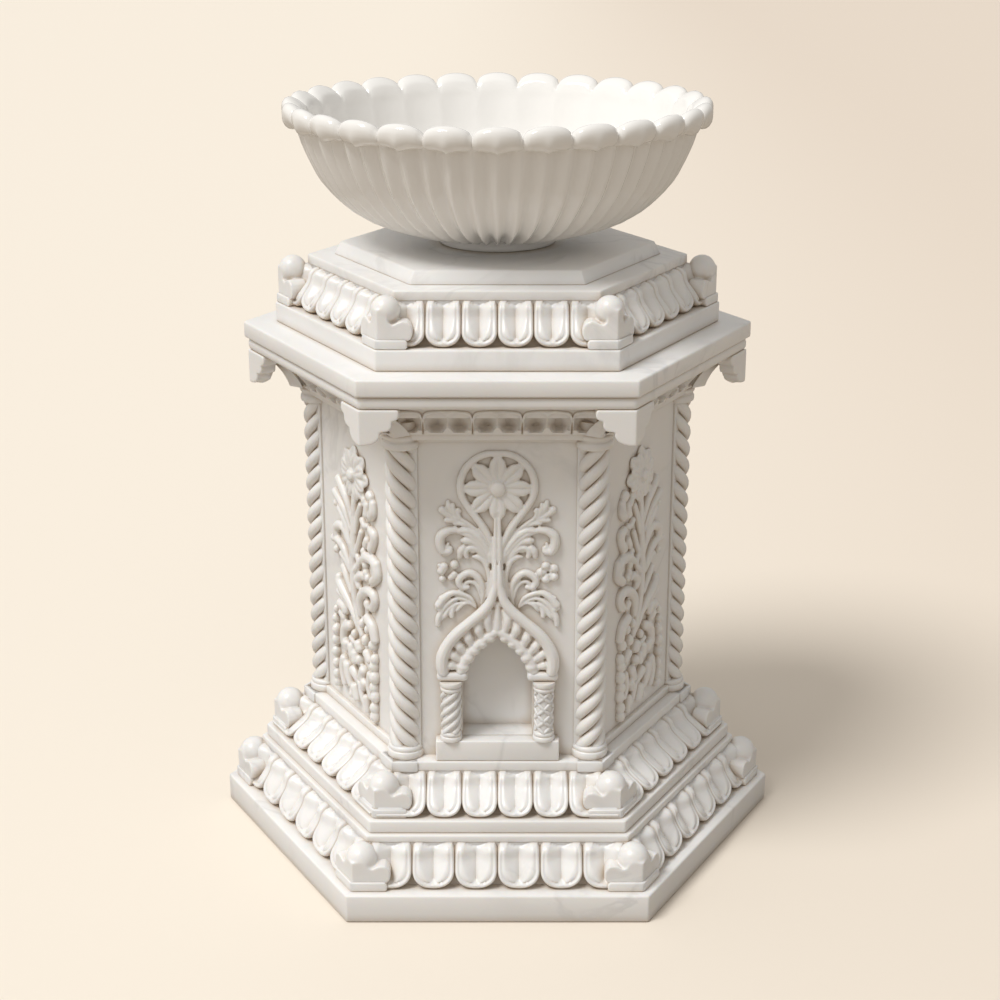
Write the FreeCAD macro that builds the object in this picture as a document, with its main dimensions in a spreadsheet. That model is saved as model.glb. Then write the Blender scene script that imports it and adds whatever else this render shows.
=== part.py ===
import FreeCAD, Part
import math
import os
from FreeCAD import Placement, Rotation, Vector

# Planter pedestal of carved white marble, all lengths in millimetres.
# Two stepped hexagonal plinths carry a hexagonal shaft with six rope columns.
# A cornice on brackets carries a third stepped tier, and a fluted bowl stands on top.
# The origin is on the floor at the centre. The niche looks towards -Y.
# Corner 1 lies on +X and corner 6 is the last one going round towards +Y.

SIDES = 6
BAND_PETALS = 4
FRIEZE_PETALS = 3
CORNER_TURN = 360.0 / SIDES
DOWEL_COUNT = 3
ROPE_STRANDS = 4
BOWL_LOBES = 28
UP = Vector(0, 0, 1)
CENTRE = Vector(0, 0, 0)

# Driving sizes, one name for each length that can be set by itself
SIZES = {
    # place of the columns, which the plan of every course starts from
    "column_place": 186.0,
    # lower tier
    "base_slab_reach": 12.0,
    "base_slab_height": 30.0,
    "lower_course_height": 40.6,
    "lower_lip_reach": 26.5,
    "lower_end_petal": 22.7,
    "lower_block_reach": 27.0,
    "lower_block_plinth": 11.0,
    "lower_wing_length": 36.0,
    "lower_ball_inset": 17.5,
    "lower_cap_reach": 5.5,
    "lower_cap_height": 7.9,
    # middle tier
    "middle_slab_reach": 9.5,
    "middle_slab_height": 13.5,
    "middle_course_height": 35.6,
    "middle_lip_reach": 39.6,
    "middle_end_petal": 16.3,
    "middle_block_reach": 35.0,
    "middle_block_plinth": 10.0,
    "middle_wing_length": 35.0,
    "middle_ball_inset": 17.0,
    "middle_cap_reach": 25.0,
    "middle_cap_height": 10.7,
    # shaft
    "panel_height": 332.7,
    "panel_reach": 5.7,
    "panel_thickness": 26.0,
    "carving_height": 4.5,
    "rope_radius": 16.5,
    "rope_groove": 4.2,
    "rope_lead": 75.0,
    "column_base_rim": 2.3,
    "column_base_height": 13.0,
    "capital_disc_height": 10.0,
    "capital_neck_rim": 1.0,
    "capital_neck_height": 7.0,
    "capital_block_rim": 3.0,
    "capital_block_height": 12.0,
    # head of the shaft and cornice
    "frieze_height": 48.0,
    "frieze_seat_height": 23.0,
    "frieze_foot_reach": 2.3,
    "frieze_head_reach": 40.4,
    "frieze_end_petal": 2.7,
    "moulding_reach": 23.1,
    "moulding_height": 13.0,
    "moulding_nose": 5.0,
    "cornice_reach": 3.5,
    "cornice_height": 17.0,
    "bracket_inset": 0.5,
    "bracket_length": 38.0,
    "bracket_height": 34.0,
    "bracket_depth": 17.0,
    # upper tier
    "upper_slab_inset": 33.5,
    "upper_slab_height": 20.5,
    "upper_course_height": 39.5,
    "upper_lip_reach": 27.5,
    "upper_end_petal": 11.3,
    "upper_block_inset": 4.5,
    "upper_block_plinth": 9.5,
    "upper_wing_length": 32.5,
    "upper_ball_inset": 13.0,
    "upper_cap_inset": 30.0,
    "upper_cap_height": 10.0,
    "top_plate_inset": 27.0,
    "top_plate_bevel": 7.0,
    "top_plate_height": 13.0,
    # carving shared by the tiers
    "petal_relief": 7.0,
    "wing_height": 25.0,
    "ball_radius": 15.2,
    "ball_rise": 31.0,
    "plinth_lip": 3.0,
    "slab_edge": 1.2,
    # niche
    "sill_margin": 62.0,
    "sill_height": 22.2,
    "sill_reach": 15.0,
    "niche_margin": 23.0,
    "niche_head_room": 1.5,
    "niche_back_thickness": 12.0,
    "niche_back_lap": 10.0,
    "colonnette_inset": 15.5,
    "colonnette_radius": 10.0,
    "colonnette_ring_rim": 1.2,
    "colonnette_ring_height": 11.0,
    "colonnette_height": 63.4,
    "arch_thickness": 11.0,
    "impost_height": 8.6,
    "impost_width": 28.0,
    "arch_rise": 78.0,
    "arch_opening_rise": 34.5,
    # bowl
    "bowl_foot_height": 11.0,
    "bowl_height": 133.0,
    "bowl_rim_radius": 214.0,
    "bowl_flute": 3.2,
    "drain_radius": 11.0,
    # hidden pins
    "dowel_radius": 6.0,
    "dowel_place": 110.0,
    "dowel_bite": 15.0,
    "pin_radius": 4.0,
    "pin_bite": 9.0,
    "fit_clearance": 0.3,
}

# Sizes that follow from others: where each starts, the share of it, then the size added or taken off
# Each course's radius is measured to its corners
FOLLOWING = {
    "middle_cap_radius": ("column_place", 1, "+", "middle_cap_reach"),
    "middle_lip_radius": ("middle_cap_radius", 1, "+", "middle_lip_reach"),
    "middle_block_radius": ("middle_cap_radius", 1, "+", "middle_block_reach"),
    "middle_slab_radius": ("middle_block_radius", 1, "+", "middle_slab_reach"),
    "lower_cap_radius": ("middle_slab_radius", 1, "+", "lower_cap_reach"),
    "lower_lip_radius": ("lower_cap_radius", 1, "+", "lower_lip_reach"),
    "lower_block_radius": ("lower_cap_radius", 1, "+", "lower_block_reach"),
    "base_slab_radius": ("lower_block_radius", 1, "+", "base_slab_reach"),
    "panel_radius": ("column_place", 1, "+", "panel_reach"),
    "frieze_foot_radius": ("panel_radius", 1, "+", "frieze_foot_reach"),
    "frieze_head_radius": ("frieze_foot_radius", 1, "+", "frieze_head_reach"),
    "moulding_radius": ("frieze_head_radius", 1, "+", "moulding_reach"),
    "bracket_radius": ("moulding_radius", 1, "-", "bracket_inset"),
    "cornice_radius": ("moulding_radius", 1, "+", "cornice_reach"),
    "upper_slab_radius": ("cornice_radius", 1, "-", "upper_slab_inset"),
    "upper_block_radius": ("upper_slab_radius", 1, "-", "upper_block_inset"),
    "upper_cap_radius": ("upper_block_radius", 1, "-", "upper_cap_inset"),
    "upper_lip_radius": ("upper_cap_radius", 1, "+", "upper_lip_reach"),
    "top_plate_foot_radius": ("upper_cap_radius", 1, "-", "top_plate_inset"),
    "top_plate_head_radius": ("top_plate_foot_radius", 1, "-", "top_plate_bevel"),
    "column_base_radius": ("rope_radius", 1, "+", "column_base_rim"),
    "capital_neck_radius": ("rope_radius", 1, "+", "capital_neck_rim"),
    "capital_block_radius": ("rope_radius", 1, "+", "capital_block_rim"),
    "sill_width": ("column_place", 1, "-", "sill_margin"),
    "colonnette_place": ("sill_width", 0.5, "-", "colonnette_inset"),
    "colonnette_ring_radius": ("colonnette_radius", 1, "+", "colonnette_ring_rim"),
    "niche_width": ("colonnette_place", 2, "-", "niche_margin"),
    "impost_level": ("colonnette_height", 1, "+", "impost_height"),
    "opening_level": ("impost_level", 1, "+", "arch_opening_rise"),
    "niche_height": ("opening_level", 1, "+", "niche_head_room"),
}

# Courses from the floor up, each with the size that gives its height
COURSES = (
    ("base_slab", "base_slab_height"),
    ("lower_petal_course", "lower_course_height"),
    ("lower_cap_plate", "lower_cap_height"),
    ("middle_slab", "middle_slab_height"),
    ("middle_petal_course", "middle_course_height"),
    ("middle_cap_plate", "middle_cap_height"),
    ("shaft", "panel_height"),
    ("frieze_course", "frieze_height"),
    ("cornice_moulding", "moulding_height"),
    ("cornice_slab", "cornice_height"),
    ("upper_slab", "upper_slab_height"),
    ("upper_petal_course", "upper_course_height"),
    ("upper_cap_plate", "upper_cap_height"),
    ("top_plate", "top_plate_height"),
    ("bowl", "bowl_foot_height"),
)

# Petal bands in side view: share of the height, then share of the way out to the lip
BAND_SHARES = ((0.0, 0.86), (0.13, 1.0), (0.42, 0.84), (0.8, 0.34), (1.0, 0.0))
# The head stone's petals lean the other way, out to its upper edge
FRIEZE_SHARES = ((0.0, 0.0), (0.22, 0.1), (0.45, 0.42), (0.8, 0.9), (1.0, 1.0))
# Wing of a corner block in front view: shares of its length and height
WING_FLAT_SHARES = ((0.66, 1.0), (0.0, 1.0), (0.0, 0.0), (1.0, 0.0))
WING_LOBE_SHARES = ((1.0, 0.0), (1.0, 0.42), (0.78, 0.66))
WING_NOTCH_SHARES = ((0.78, 0.66), (0.68, 0.78), (0.66, 1.0))
# Bracket in front view, hanging down: three lobes from the tip to the lowest point
BRACKET_LOBE_SHARES = (
    ((1.0, 0.0), (1.03, 0.18), (0.84, 0.3)),
    ((0.84, 0.3), (0.8, 0.52), (0.58, 0.62)),
    ((0.58, 0.62), (0.34, 0.99), (0.0, 0.9)),
)
# Niche arch opening, from the impost to the point: shares of half width and rise
CUSP_SHARES = (
    ((1.0, 0.0), (0.94, 0.2), (0.8, 0.36)),
    ((0.8, 0.36), (0.62, 0.5), (0.44, 0.66)),
    ((0.44, 0.66), (0.16, 0.78), (0.0, 1.0)),
)
ARCH_OUTER_SHARES = ((1.0, 0.0), (0.84, 0.44), (0.0, 1.0))
# Carving of the shaft panels, as raised outlines: shares of half a panel's width and of its height
FRONT_CARVING_SHARES = (
    (0.021, 0.775), (-0.125, 0.751), (-0.25, 0.769), (-0.396, 0.793), (-0.501, 0.832), (-0.595, 0.805),
    (-0.595, 0.781), (-0.543, 0.751), (-0.626, 0.723), (-0.636, 0.678), (-0.563, 0.651),
    (-0.459, 0.654), (-0.376, 0.633), (-0.219, 0.63), (-0.209, 0.612), (-0.344, 0.609),
    (-0.438, 0.585), (-0.396, 0.561), (-0.303, 0.555), (-0.219, 0.567), (-0.209, 0.534),
    (-0.355, 0.54), (-0.501, 0.546), (-0.647, 0.516), (-0.668, 0.477), (-0.657, 0.423),
    (-0.584, 0.423), (-0.48, 0.453), (-0.376, 0.486), (-0.23, 0.519), (0.021, 0.543),
)
SIDE_CARVING_SHARES = (
    (
        (0.042, 0.769), (-0.125, 0.763), (-0.376, 0.793), (-0.511, 0.732), (-0.469, 0.678),
        (-0.501, 0.624), (-0.574, 0.57), (-0.49, 0.522), (-0.355, 0.504), (-0.469, 0.456),
        (-0.459, 0.39), (-0.292, 0.372), (-0.063, 0.336), (0.167, 0.294), (0.209, 0.318),
        (0.063, 0.372), (0.031, 0.486), (0.042, 0.606),
    ),
    (
        (0.021, 0.702), (0.125, 0.745), (0.292, 0.775), (0.438, 0.802), (0.511, 0.763), (0.501, 0.708),
        (0.428, 0.69), (0.522, 0.66), (0.501, 0.6), (0.584, 0.57), (0.553, 0.522), (0.459, 0.495),
        (0.522, 0.468), (0.48, 0.402), (0.271, 0.39), (0.083, 0.354), (0, 0.372), (0, 0.606),
    ),
    (
        (-0.543, 0.36), (-0.271, 0.378), (-0.188, 0.342), (0, 0.312), (0.188, 0.366), (0.396, 0.39),
        (0.511, 0.336), (0.49, 0.041), (0.209, 0.041), (-0.104, 0.056), (-0.553, 0.059),
        (-0.574, 0.185), (-0.574, 0.306),
    ),
)
# Its round flower: place across and up, then its radius as a share of half the width
FRONT_FLOWER_SHARES = (0, 0.862, 0.412)
SIDE_FLOWER_SHARES = (0.023, 0.821, 0.292)
# Bowl section: shares of the rim radius and of the height above the foot
BOWL_WALL_SHARES = (
    (0.28, 0.0), (0.364, 0.009), (0.43, 0.026), (0.491, 0.053), (0.551, 0.086), (0.626, 0.135),
    (0.701, 0.211), (0.785, 0.337), (0.827, 0.419), (0.869, 0.541), (0.897, 0.639), (0.916, 0.722),
    (0.928, 0.789), (0.932, 0.82),
)
BOWL_LOBE_SHARES = (
    (0.953, 0.826), (0.977, 0.846), (0.993, 0.88), (1.0, 0.921), (0.994, 0.962), (0.977, 0.992),
    (0.949, 1.0), (0.918, 0.985), (0.893, 0.947),
)
BOWL_NOTCH_SHARES = (
    (0.939, 0.833), (0.951, 0.85), (0.959, 0.872), (0.961, 0.896), (0.955, 0.917), (0.944, 0.929),
    (0.93, 0.929), (0.913, 0.917), (0.894, 0.891),
)
BOWL_INSIDE_SHARES = (
    (0.882, 0.85), (0.864, 0.752), (0.832, 0.579), (0.78, 0.444), (0.701, 0.323), (0.607, 0.233),
    (0.491, 0.158), (0.374, 0.113),
)
LOBE_COLUMNS = 12

doc = FreeCAD.newDocument("planter")
sheet = doc.addObject("Spreadsheet::Sheet", "sizes")
sub_parts = []


def fill_sheet():
    """Writes each driving size and its alias into the sheet."""
    for row, (name, value) in enumerate(SIZES.items(), start=1):
        sheet.set(f"A{row}", name)
        sheet.set(f"B{row}", str(value))
        sheet.setAlias(f"B{row}", name)
    doc.recompute()


def size(name):
    """Value of one size, driving or following."""
    if name not in FOLLOWING:
        return float(sheet.get(name))
    start, share, sign, step = FOLLOWING[name]
    change = size(step) if sign == "+" else -size(step)
    return size(start) * share + change


def cell(name):
    """One size inside an expression, spelled out from the driving sizes."""
    if name not in FOLLOWING:
        return f"sizes.{name}"
    start, share, sign, step = FOLLOWING[name]
    return f"({cell(start)} * {share} {sign} {cell(step)})"


def face_cell(name):
    """Distance from the middle to the faces of a hexagon, inside an expression."""
    return f"({cell(name)} * cos(180 deg / 6))"


def apothem(name):
    """Distance from the middle to the faces of a hexagon."""
    return size(name) * math.cos(math.pi / SIDES)


def foot_of(course):
    """Expression for the level that a course stands on."""
    below = []
    for name, height in COURSES:
        if name == course:
            break
        below.append(cell(height))
    return " + ".join(below) if below else "0"


def foot_level(course):
    """Level that a course stands on."""
    total = 0.0
    for name, height in COURSES:
        if name == course:
            break
        total += size(height)
    return total


def bind(thing, **expressions):
    """Binds properties to expressions; at_x, at_y and at_z bind the place."""
    for key, text in expressions.items():
        if key.startswith("at_"):
            thing.setExpression(f"Placement.Base.{key[-1]}", text)
        else:
            thing.setExpression(key, text)


def keep(thing, label):
    """Registers a finished sub-part under its label."""
    thing.Label = label
    sub_parts.append(thing)
    return thing


def shape_part(label, shape, turn=0.0):
    """Adds a sub-part from a computed shape, turned about the middle axis."""
    part = doc.addObject("Part::Feature", label)
    part.Shape = shape
    part.Placement = Placement(CENTRE, Rotation(UP, turn)).multiply(part.Placement)
    return keep(part, label)


def at_angle(radius, degrees, level):
    """Point at a radius and an angle about the middle axis."""
    turn = math.radians(degrees)
    return Vector(radius * math.cos(turn), radius * math.sin(turn), level)


def arc_edge(first, middle, last):
    """Edge along the arc through three points."""
    return Part.Arc(first, middle, last).toShape()


def corner_radius(face):
    """Corner radius of a hexagon whose faces lie this far from the middle."""
    return face / math.cos(math.pi / SIDES)


# Slabs and plates


def hex_slab(label, radius, height, edge="slab_edge", round_edge=False, dowels=None):
    """Hexagonal stone with dressed edges and, if named, drilled for dowels."""
    body = doc.addObject("PartDesign::Body", label)
    blank = body.newObject("PartDesign::AdditivePrism", label + "_blank")
    blank.Polygon = SIDES
    bind(blank, Circumradius=cell(radius), Height=cell(height))
    doc.recompute()
    kind = "PartDesign::Fillet" if round_edge else "PartDesign::Chamfer"
    dressed = body.newObject(kind, label + "_edge")
    dressed.Base = (blank, [f"Face{SIDES + 1}", f"Face{SIDES + 2}"])
    bind(dressed, **{"Radius" if round_edge else "Size": cell(edge)})
    body.Tip = dressed
    if dowels:
        body.Tip = drill_dowel_holes(body, label, height, dowels)
    bind(body, at_z=foot_of(label))
    return keep(body, label)


def drill_dowel_holes(body, label, height, depth):
    """Cuts the ring of dowel holes: through, from the top or from the foot."""
    hole = body.newObject("PartDesign::SubtractiveCylinder", label + "_hole")
    bind(hole, Radius=f"{cell('dowel_radius')} + {cell('fit_clearance')}")
    bind(hole, at_x=cell("dowel_place"))
    if depth == "through":
        bind(hole, Height=cell(height))
    else:
        bind(hole, Height=cell("dowel_bite"))
    if depth == "top":
        bind(hole, at_z=f"{cell(height)} - {cell('dowel_bite')}")
    doc.recompute()
    ring = body.newObject("PartDesign::PolarPattern", label + "_holes")
    ring.Originals = [hole]
    axis = next(f for f in body.Origin.OriginFeatures if f.Role == "Z_Axis")
    ring.Axis = (axis, [""])
    ring.Angle = 360
    ring.Occurrences = DOWEL_COUNT
    return ring


def top_plate():
    """Bevelled plate that the bowl stands on."""
    sections = []
    for end, radius in (("foot", "top_plate_foot_radius"), ("head", "top_plate_head_radius")):
        outline = doc.addObject("Part::RegularPolygon", "top_plate_" + end)
        outline.Polygon = SIDES
        level = foot_of("top_plate")
        if end == "head":
            level += " + " + cell("top_plate_height")
        bind(outline, Circumradius=cell(radius), at_z=level)
        sections.append(outline)
    plate = doc.addObject("Part::Loft", "top_plate")
    plate.Sections = sections
    plate.Solid = True
    plate.Ruled = True
    return keep(plate, "top_plate")


# Petal bands


def band_levels(course, height, inner, outer, shares):
    """Level and apothem of each section of a band."""
    foot = foot_level(course)
    reach = apothem(outer) - apothem(inner)
    return [(foot + size(height) * rise, apothem(inner) + reach * out) for rise, out in shares]


def plain_section(face, level):
    """Hexagonal outline whose faces lie this far from the middle."""
    corners = [at_angle(corner_radius(face), CORNER_TURN * i, level) for i in range(SIDES + 1)]
    return Part.makePolygon(corners)


def petal_marks(part_petal, count, start, end):
    """Places along a face where petals meet, between the part petals at its ends."""
    first = start + part_petal
    width = (end - start - 2 * part_petal) / count
    return [start] + [first + width * i for i in range(count + 1)] + [end]


def petal_section(face, level, marks, side):
    """Outline of a band with one bulging arc for each petal."""
    relief = size("petal_relief")
    full = max(b - a for a, b in zip(marks, marks[1:]))
    core = corner_radius(face - relief)
    edges = []
    for index in range(SIDES):
        first = at_angle(core, CORNER_TURN * index, level)
        last = at_angle(core, CORNER_TURN * (index + 1), level)
        along = (last - first).normalize()
        middle = (first + last) / 2
        outward = Vector(middle.x, middle.y, 0).normalize()
        places = [middle + along * (mark - side / 2) for mark in marks]
        edges.append(Part.makeLine(first, places[0]))
        for left, right in zip(places, places[1:]):
            crown = (left + right) / 2 + outward * relief * ((right - left).Length / full)
            edges.append(arc_edge(left, crown, right))
        edges.append(Part.makeLine(places[-1], last))
    return Part.Wire(edges)


def petal_band(levels, part_petal, count, clear):
    """Solid band of petals that stops clear of the corner stones."""
    side = min(corner_radius(face - size("petal_relief")) for level, face in levels)
    marks = petal_marks(part_petal, count, clear, side - clear)
    wires = [petal_section(face, level, marks, side) for level, face in levels]
    return Part.makeLoft(wires, True, True)


def core_band(levels):
    """The band's body without its petals, which the corner stones sit against."""
    relief = size("petal_relief")
    wires = [plain_section(face - relief, level) for level, face in levels]
    return Part.makeLoft(wires, True, True)


def dowel_holes(foot, head):
    """Cylinders that cut the ring of dowel holes between two levels."""
    radius = size("dowel_radius") + size("fit_clearance")
    holes = []
    for index in range(DOWEL_COUNT):
        place = at_angle(size("dowel_place"), index * 360.0 / DOWEL_COUNT, foot)
        holes.append(Part.makeCylinder(radius, head - foot, place))
    return holes


def tier_levels(tier):
    """Sections of one tier's band, whose crest lies under the edge of the cap plate."""
    names = [f"{tier}_{word}" for word in ("course_height", "cap_radius", "lip_radius")]
    return band_levels(f"{tier}_petal_course", *names, BAND_SHARES)


def crest_core(tier):
    """Corner radius of the band's body at its crest."""
    return corner_radius(apothem(f"{tier}_cap_radius") - size("petal_relief"))


def tier_band(tier):
    """Petal course of one tier."""
    levels = tier_levels(tier)
    depth = size(f"{tier}_block_radius") - crest_core(tier)
    clear = size(f"{tier}_wing_length") - depth / 2 + size("fit_clearance")
    band = petal_band(levels, size(f"{tier}_end_petal"), BAND_PETALS, clear)
    shape_part(f"{tier}_petal_course", band.cut(dowel_holes(levels[0][0], levels[-1][0])))


# Corner stones of the petal bands


def share_point(share, length, height):
    """Point of a front view given in shares of a length and a height."""
    return Vector(share[0] * length, 0, share[1] * height)


def upright_face(edges):
    """Face of a front view drawn in the XZ plane."""
    return Part.Face(Part.Wire(edges))


def wing_face(length, height):
    """Front view of a corner block's wing, from the corner edge outwards."""
    flat = [share_point(share, length, height) for share in WING_FLAT_SHARES]
    edges = [Part.makeLine(a, b) for a, b in zip(flat, flat[1:])]
    for shares in (WING_LOBE_SHARES, WING_NOTCH_SHARES):
        edges.append(arc_edge(*[share_point(share, length, height) for share in shares]))
    return upright_face(edges)


def both_wings(face, depth, radius, level):
    """Two slabs cut to a front view that meet on the corner edge at +X."""
    slab = face.extrude(Vector(0, depth, 0))
    slab.rotate(CENTRE, UP, 90.0 + CORNER_TURN / 2)
    slab.translate(Vector(radius, 0, level))
    return [slab, slab.mirror(CENTRE, Vector(0, 1, 0))]


def plinth_face(length, height):
    """Plain front view of the step under a corner block."""
    corners = [(0.0, 0.0), (1.0, 0.0), (1.0, 1.0), (0.0, 1.0), (0.0, 0.0)]
    points = [share_point(share, length, height) for share in corners]
    return Part.Face(Part.makePolygon(points))


def corner_block_shape(tier):
    """Corner stone: plinth, two lobed wings and a ball-shaped dome."""
    foot = foot_level(f"{tier}_petal_course")
    radius = size(f"{tier}_block_radius")
    step = size(f"{tier}_block_plinth")
    lip = size("plinth_lip")
    length = size(f"{tier}_wing_length")
    depth = radius - crest_core(tier)
    ball = size("ball_radius")
    place = Vector(radius - size(f"{tier}_ball_inset"), 0, foot + size("ball_rise"))
    base = both_wings(plinth_face(length, step), depth, radius + lip, foot)
    wings = both_wings(wing_face(length, size("wing_height")), depth, radius, foot + step)
    neck_foot = Vector(place.x, 0, foot + step)
    neck = Part.makeCylinder(ball, place.z - neck_foot.z, neck_foot)
    dome = Part.makeSphere(ball, place)
    block = base[0].fuse([base[1], *wings, neck, dome])
    return block.cut([core_band(tier_levels(tier)), cap_blank(tier)]).removeSplitter()


def cap_blank(tier):
    """Room taken by the cap plate above a corner block."""
    level = foot_level(f"{tier}_cap_plate")
    outline = plain_section(apothem(f"{tier}_cap_radius"), level)
    return Part.Face(outline).extrude(UP * size(f"{tier}_cap_height"))


def corner_blocks(tier):
    """The six corner stones of one tier."""
    shape = corner_block_shape(tier)
    for index in range(SIDES):
        shape_part(f"{tier}_corner_block_{index + 1}", shape, CORNER_TURN * index)


# Columns


def rope_section(level):
    """Section of the rope: one bulging arc for each strand."""
    outer = size("rope_radius")
    inner = outer - size("rope_groove")
    turn = 360.0 / ROPE_STRANDS
    edges = []
    for index in range(ROPE_STRANDS):
        first = at_angle(inner, turn * (index - 0.5), level)
        crown = at_angle(outer, turn * index, level)
        edges.append(arc_edge(first, crown, at_angle(inner, turn * (index + 0.5), level)))
    return Part.Wire(edges)


def rope_shaft(height, left_handed):
    """Twisted shaft standing on the origin."""
    spine = Part.Wire([Part.makeLine(CENTRE, UP * height)])
    guide = Part.makeHelix(size("rope_lead"), height, size("rope_radius"), 0, left_handed)
    sweep = Part.BRepOffsetAPI.MakePipeShell(spine)
    sweep.setAuxiliarySpine(Part.Wire(guide.Edges), True, False)
    sweep.add(rope_section(0))
    sweep.build()
    sweep.makeSolid()
    return sweep.shape()


def column_height():
    """Height from the cap plate to the underside of the head stone's corner."""
    return size("panel_height") + size("frieze_seat_height")


def column_shape(left_handed):
    """Column with base disc, rope shaft and capital, standing on the origin."""
    base = size("column_base_height")
    disc = size("capital_disc_height")
    neck = size("capital_neck_height")
    block = size("capital_block_height")
    shaft_height = column_height() - base - disc - neck - block
    shaft = rope_shaft(shaft_height, left_handed)
    shaft.translate(UP * base)
    level = base + shaft_height
    pieces = [Part.makeCylinder(size("column_base_radius"), base)]
    for radius, height in (("column_base_radius", disc), ("capital_neck_radius", neck),
                           ("capital_block_radius", block)):
        pieces.append(Part.makeCylinder(size(radius), height, UP * level))
        level += height
    column = shaft.fuse(pieces)
    bore = size("pin_radius") + size("fit_clearance")
    bite = size("pin_bite")
    holes = [Part.makeCylinder(bore, bite), Part.makeCylinder(bore, bite, UP * (level - bite))]
    return column.cut(holes)


def columns():
    """Six columns; neighbours twist opposite ways."""
    shapes = [column_shape(True), column_shape(False)]
    place = Vector(size("column_place"), 0, foot_level("shaft"))
    for index in range(SIDES):
        shape = shapes[index % 2].copy()
        shape.translate(place)
        shape_part(f"column_{index + 1}", shape, CORNER_TURN * index)


def pin_places():
    """Middle of each column, in plan."""
    return [at_angle(size("column_place"), CORNER_TURN * i, 0) for i in range(SIDES)]


def pin_holes(level, height):
    """Cylinders that cut the holes for the column pins."""
    radius = size("pin_radius") + size("fit_clearance")
    return [Part.makeCylinder(radius, height, place + UP * level) for place in pin_places()]


def column_pins():
    """Steel pins at the foot and head of each column, as one set."""
    bite = size("pin_bite")
    levels = [foot_level("shaft"), foot_level("shaft") + column_height()]
    pins = []
    for level in levels:
        for place in pin_places():
            pins.append(Part.makeCylinder(size("pin_radius"), bite * 2, place + UP * (level - bite)))
    shape_part("column_pins", Part.makeCompound(pins))


# Shaft


def column_seats():
    """Room that the panels leave for the columns beside the front face."""
    clear = size("fit_clearance")
    foot = foot_level("shaft")
    seats = []
    for corner in (4, 5):
        place = at_angle(size("column_place"), CORNER_TURN * corner, foot)
        full = size("panel_height")
        seats.append(Part.makeCylinder(size("rope_radius") + clear, full, place))
        wide = size("column_base_radius") + clear
        seats.append(Part.makeCylinder(wide, size("column_base_height") + clear, place))
        capital = size("column_base_radius") + clear
        above = size("capital_disc_height") + size("capital_neck_height") + size("capital_block_height")
        drop = above - size("frieze_seat_height") + clear
        seats.append(Part.makeCylinder(capital, drop, place + UP * (full - drop)))
    return Part.makeCompound(seats)


def panel_blank():
    """Mitred slab of one shaft face, standing at the front."""
    blank = doc.addObject("Part::Wedge", "panel_blank")
    half = "tan(180 deg / 6)"
    outer = face_cell("panel_radius")
    inner = f"({outer} - {cell('panel_thickness')})"
    bind(blank, Ymin=f"-{outer}", Ymax=f"-{inner}", Zmin="0", Zmax=cell("panel_height"))
    bind(blank, Xmin=f"-{outer} * {half}", Xmax=f"{outer} * {half}")
    bind(blank, X2min=f"-{inner} * {half}", X2max=f"{inner} * {half}")
    bind(blank, Z2min="0", Z2max=cell("panel_height"), at_z=foot_of("shaft"))
    return blank


def niche_cutter():
    """Round-headed opening of the front panel."""
    straight = doc.addObject("Part::Box", "niche_straight")
    spring = f"{cell('niche_height')} - {cell('niche_width')} / 2"
    floor = f"{foot_of('shaft')} + {cell('sill_height')}"
    bind(straight, Length=cell("niche_width"), Width=f"{cell('panel_thickness')} * 3", Height=spring)
    bind(straight, at_x=f"-{cell('niche_width')} / 2", at_z=floor)
    front = f"-{face_cell('panel_radius')} - {cell('panel_thickness')}"
    bind(straight, at_y=front)
    head = doc.addObject("Part::Cylinder", "niche_head")
    head.Placement = Placement(CENTRE, Rotation(Vector(1, 0, 0), -90))
    bind(head, Radius=f"{cell('niche_width')} / 2", Height=f"{cell('panel_thickness')} * 3")
    bind(head, at_y=front, at_z=f"{floor} + {spring}")
    cutter = doc.addObject("Part::Fuse", "niche_cutter")
    cutter.Base = straight
    cutter.Tool = head
    return cutter


def mirrored_shares(outline):
    """The same outline on the other side of the panel's middle."""
    return tuple((-across, up) for across, up in outline)


def carving(label, outlines, flower):
    """Raised body of a panel's carving: its outlines and the round flower, standing at the front."""
    half = size("panel_radius") / 2
    sunk = size("fit_clearance")
    outwards = Vector(0, -size("carving_height") - sunk, 0)
    prisms = []
    for outline in outlines:
        points = [share_point(share, half, size("panel_height")) for share in outline]
        prisms.append(Part.Face(Part.makePolygon(points + points[:1])).extrude(outwards))
    middle = share_point(flower[:2], half, size("panel_height"))
    disc = Part.makeCylinder(half * flower[2], outwards.Length, middle, outwards)
    raised = doc.addObject("Part::Feature", label)
    raised.Shape = disc.fuse(prisms).removeSplitter()
    raised.Placement.Base = Vector(0, sunk - apothem("panel_radius"), foot_level("shaft"))
    return raised


def carved(label, slab, raised, turn=0.0):
    """Panel with its carving, turned to its face of the shaft."""
    panel = doc.addObject("Part::Fuse", label)
    panel.Base = slab
    panel.Tool = raised
    panel.Placement = Placement(CENTRE, Rotation(UP, turn))
    keep(panel, label)


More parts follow.
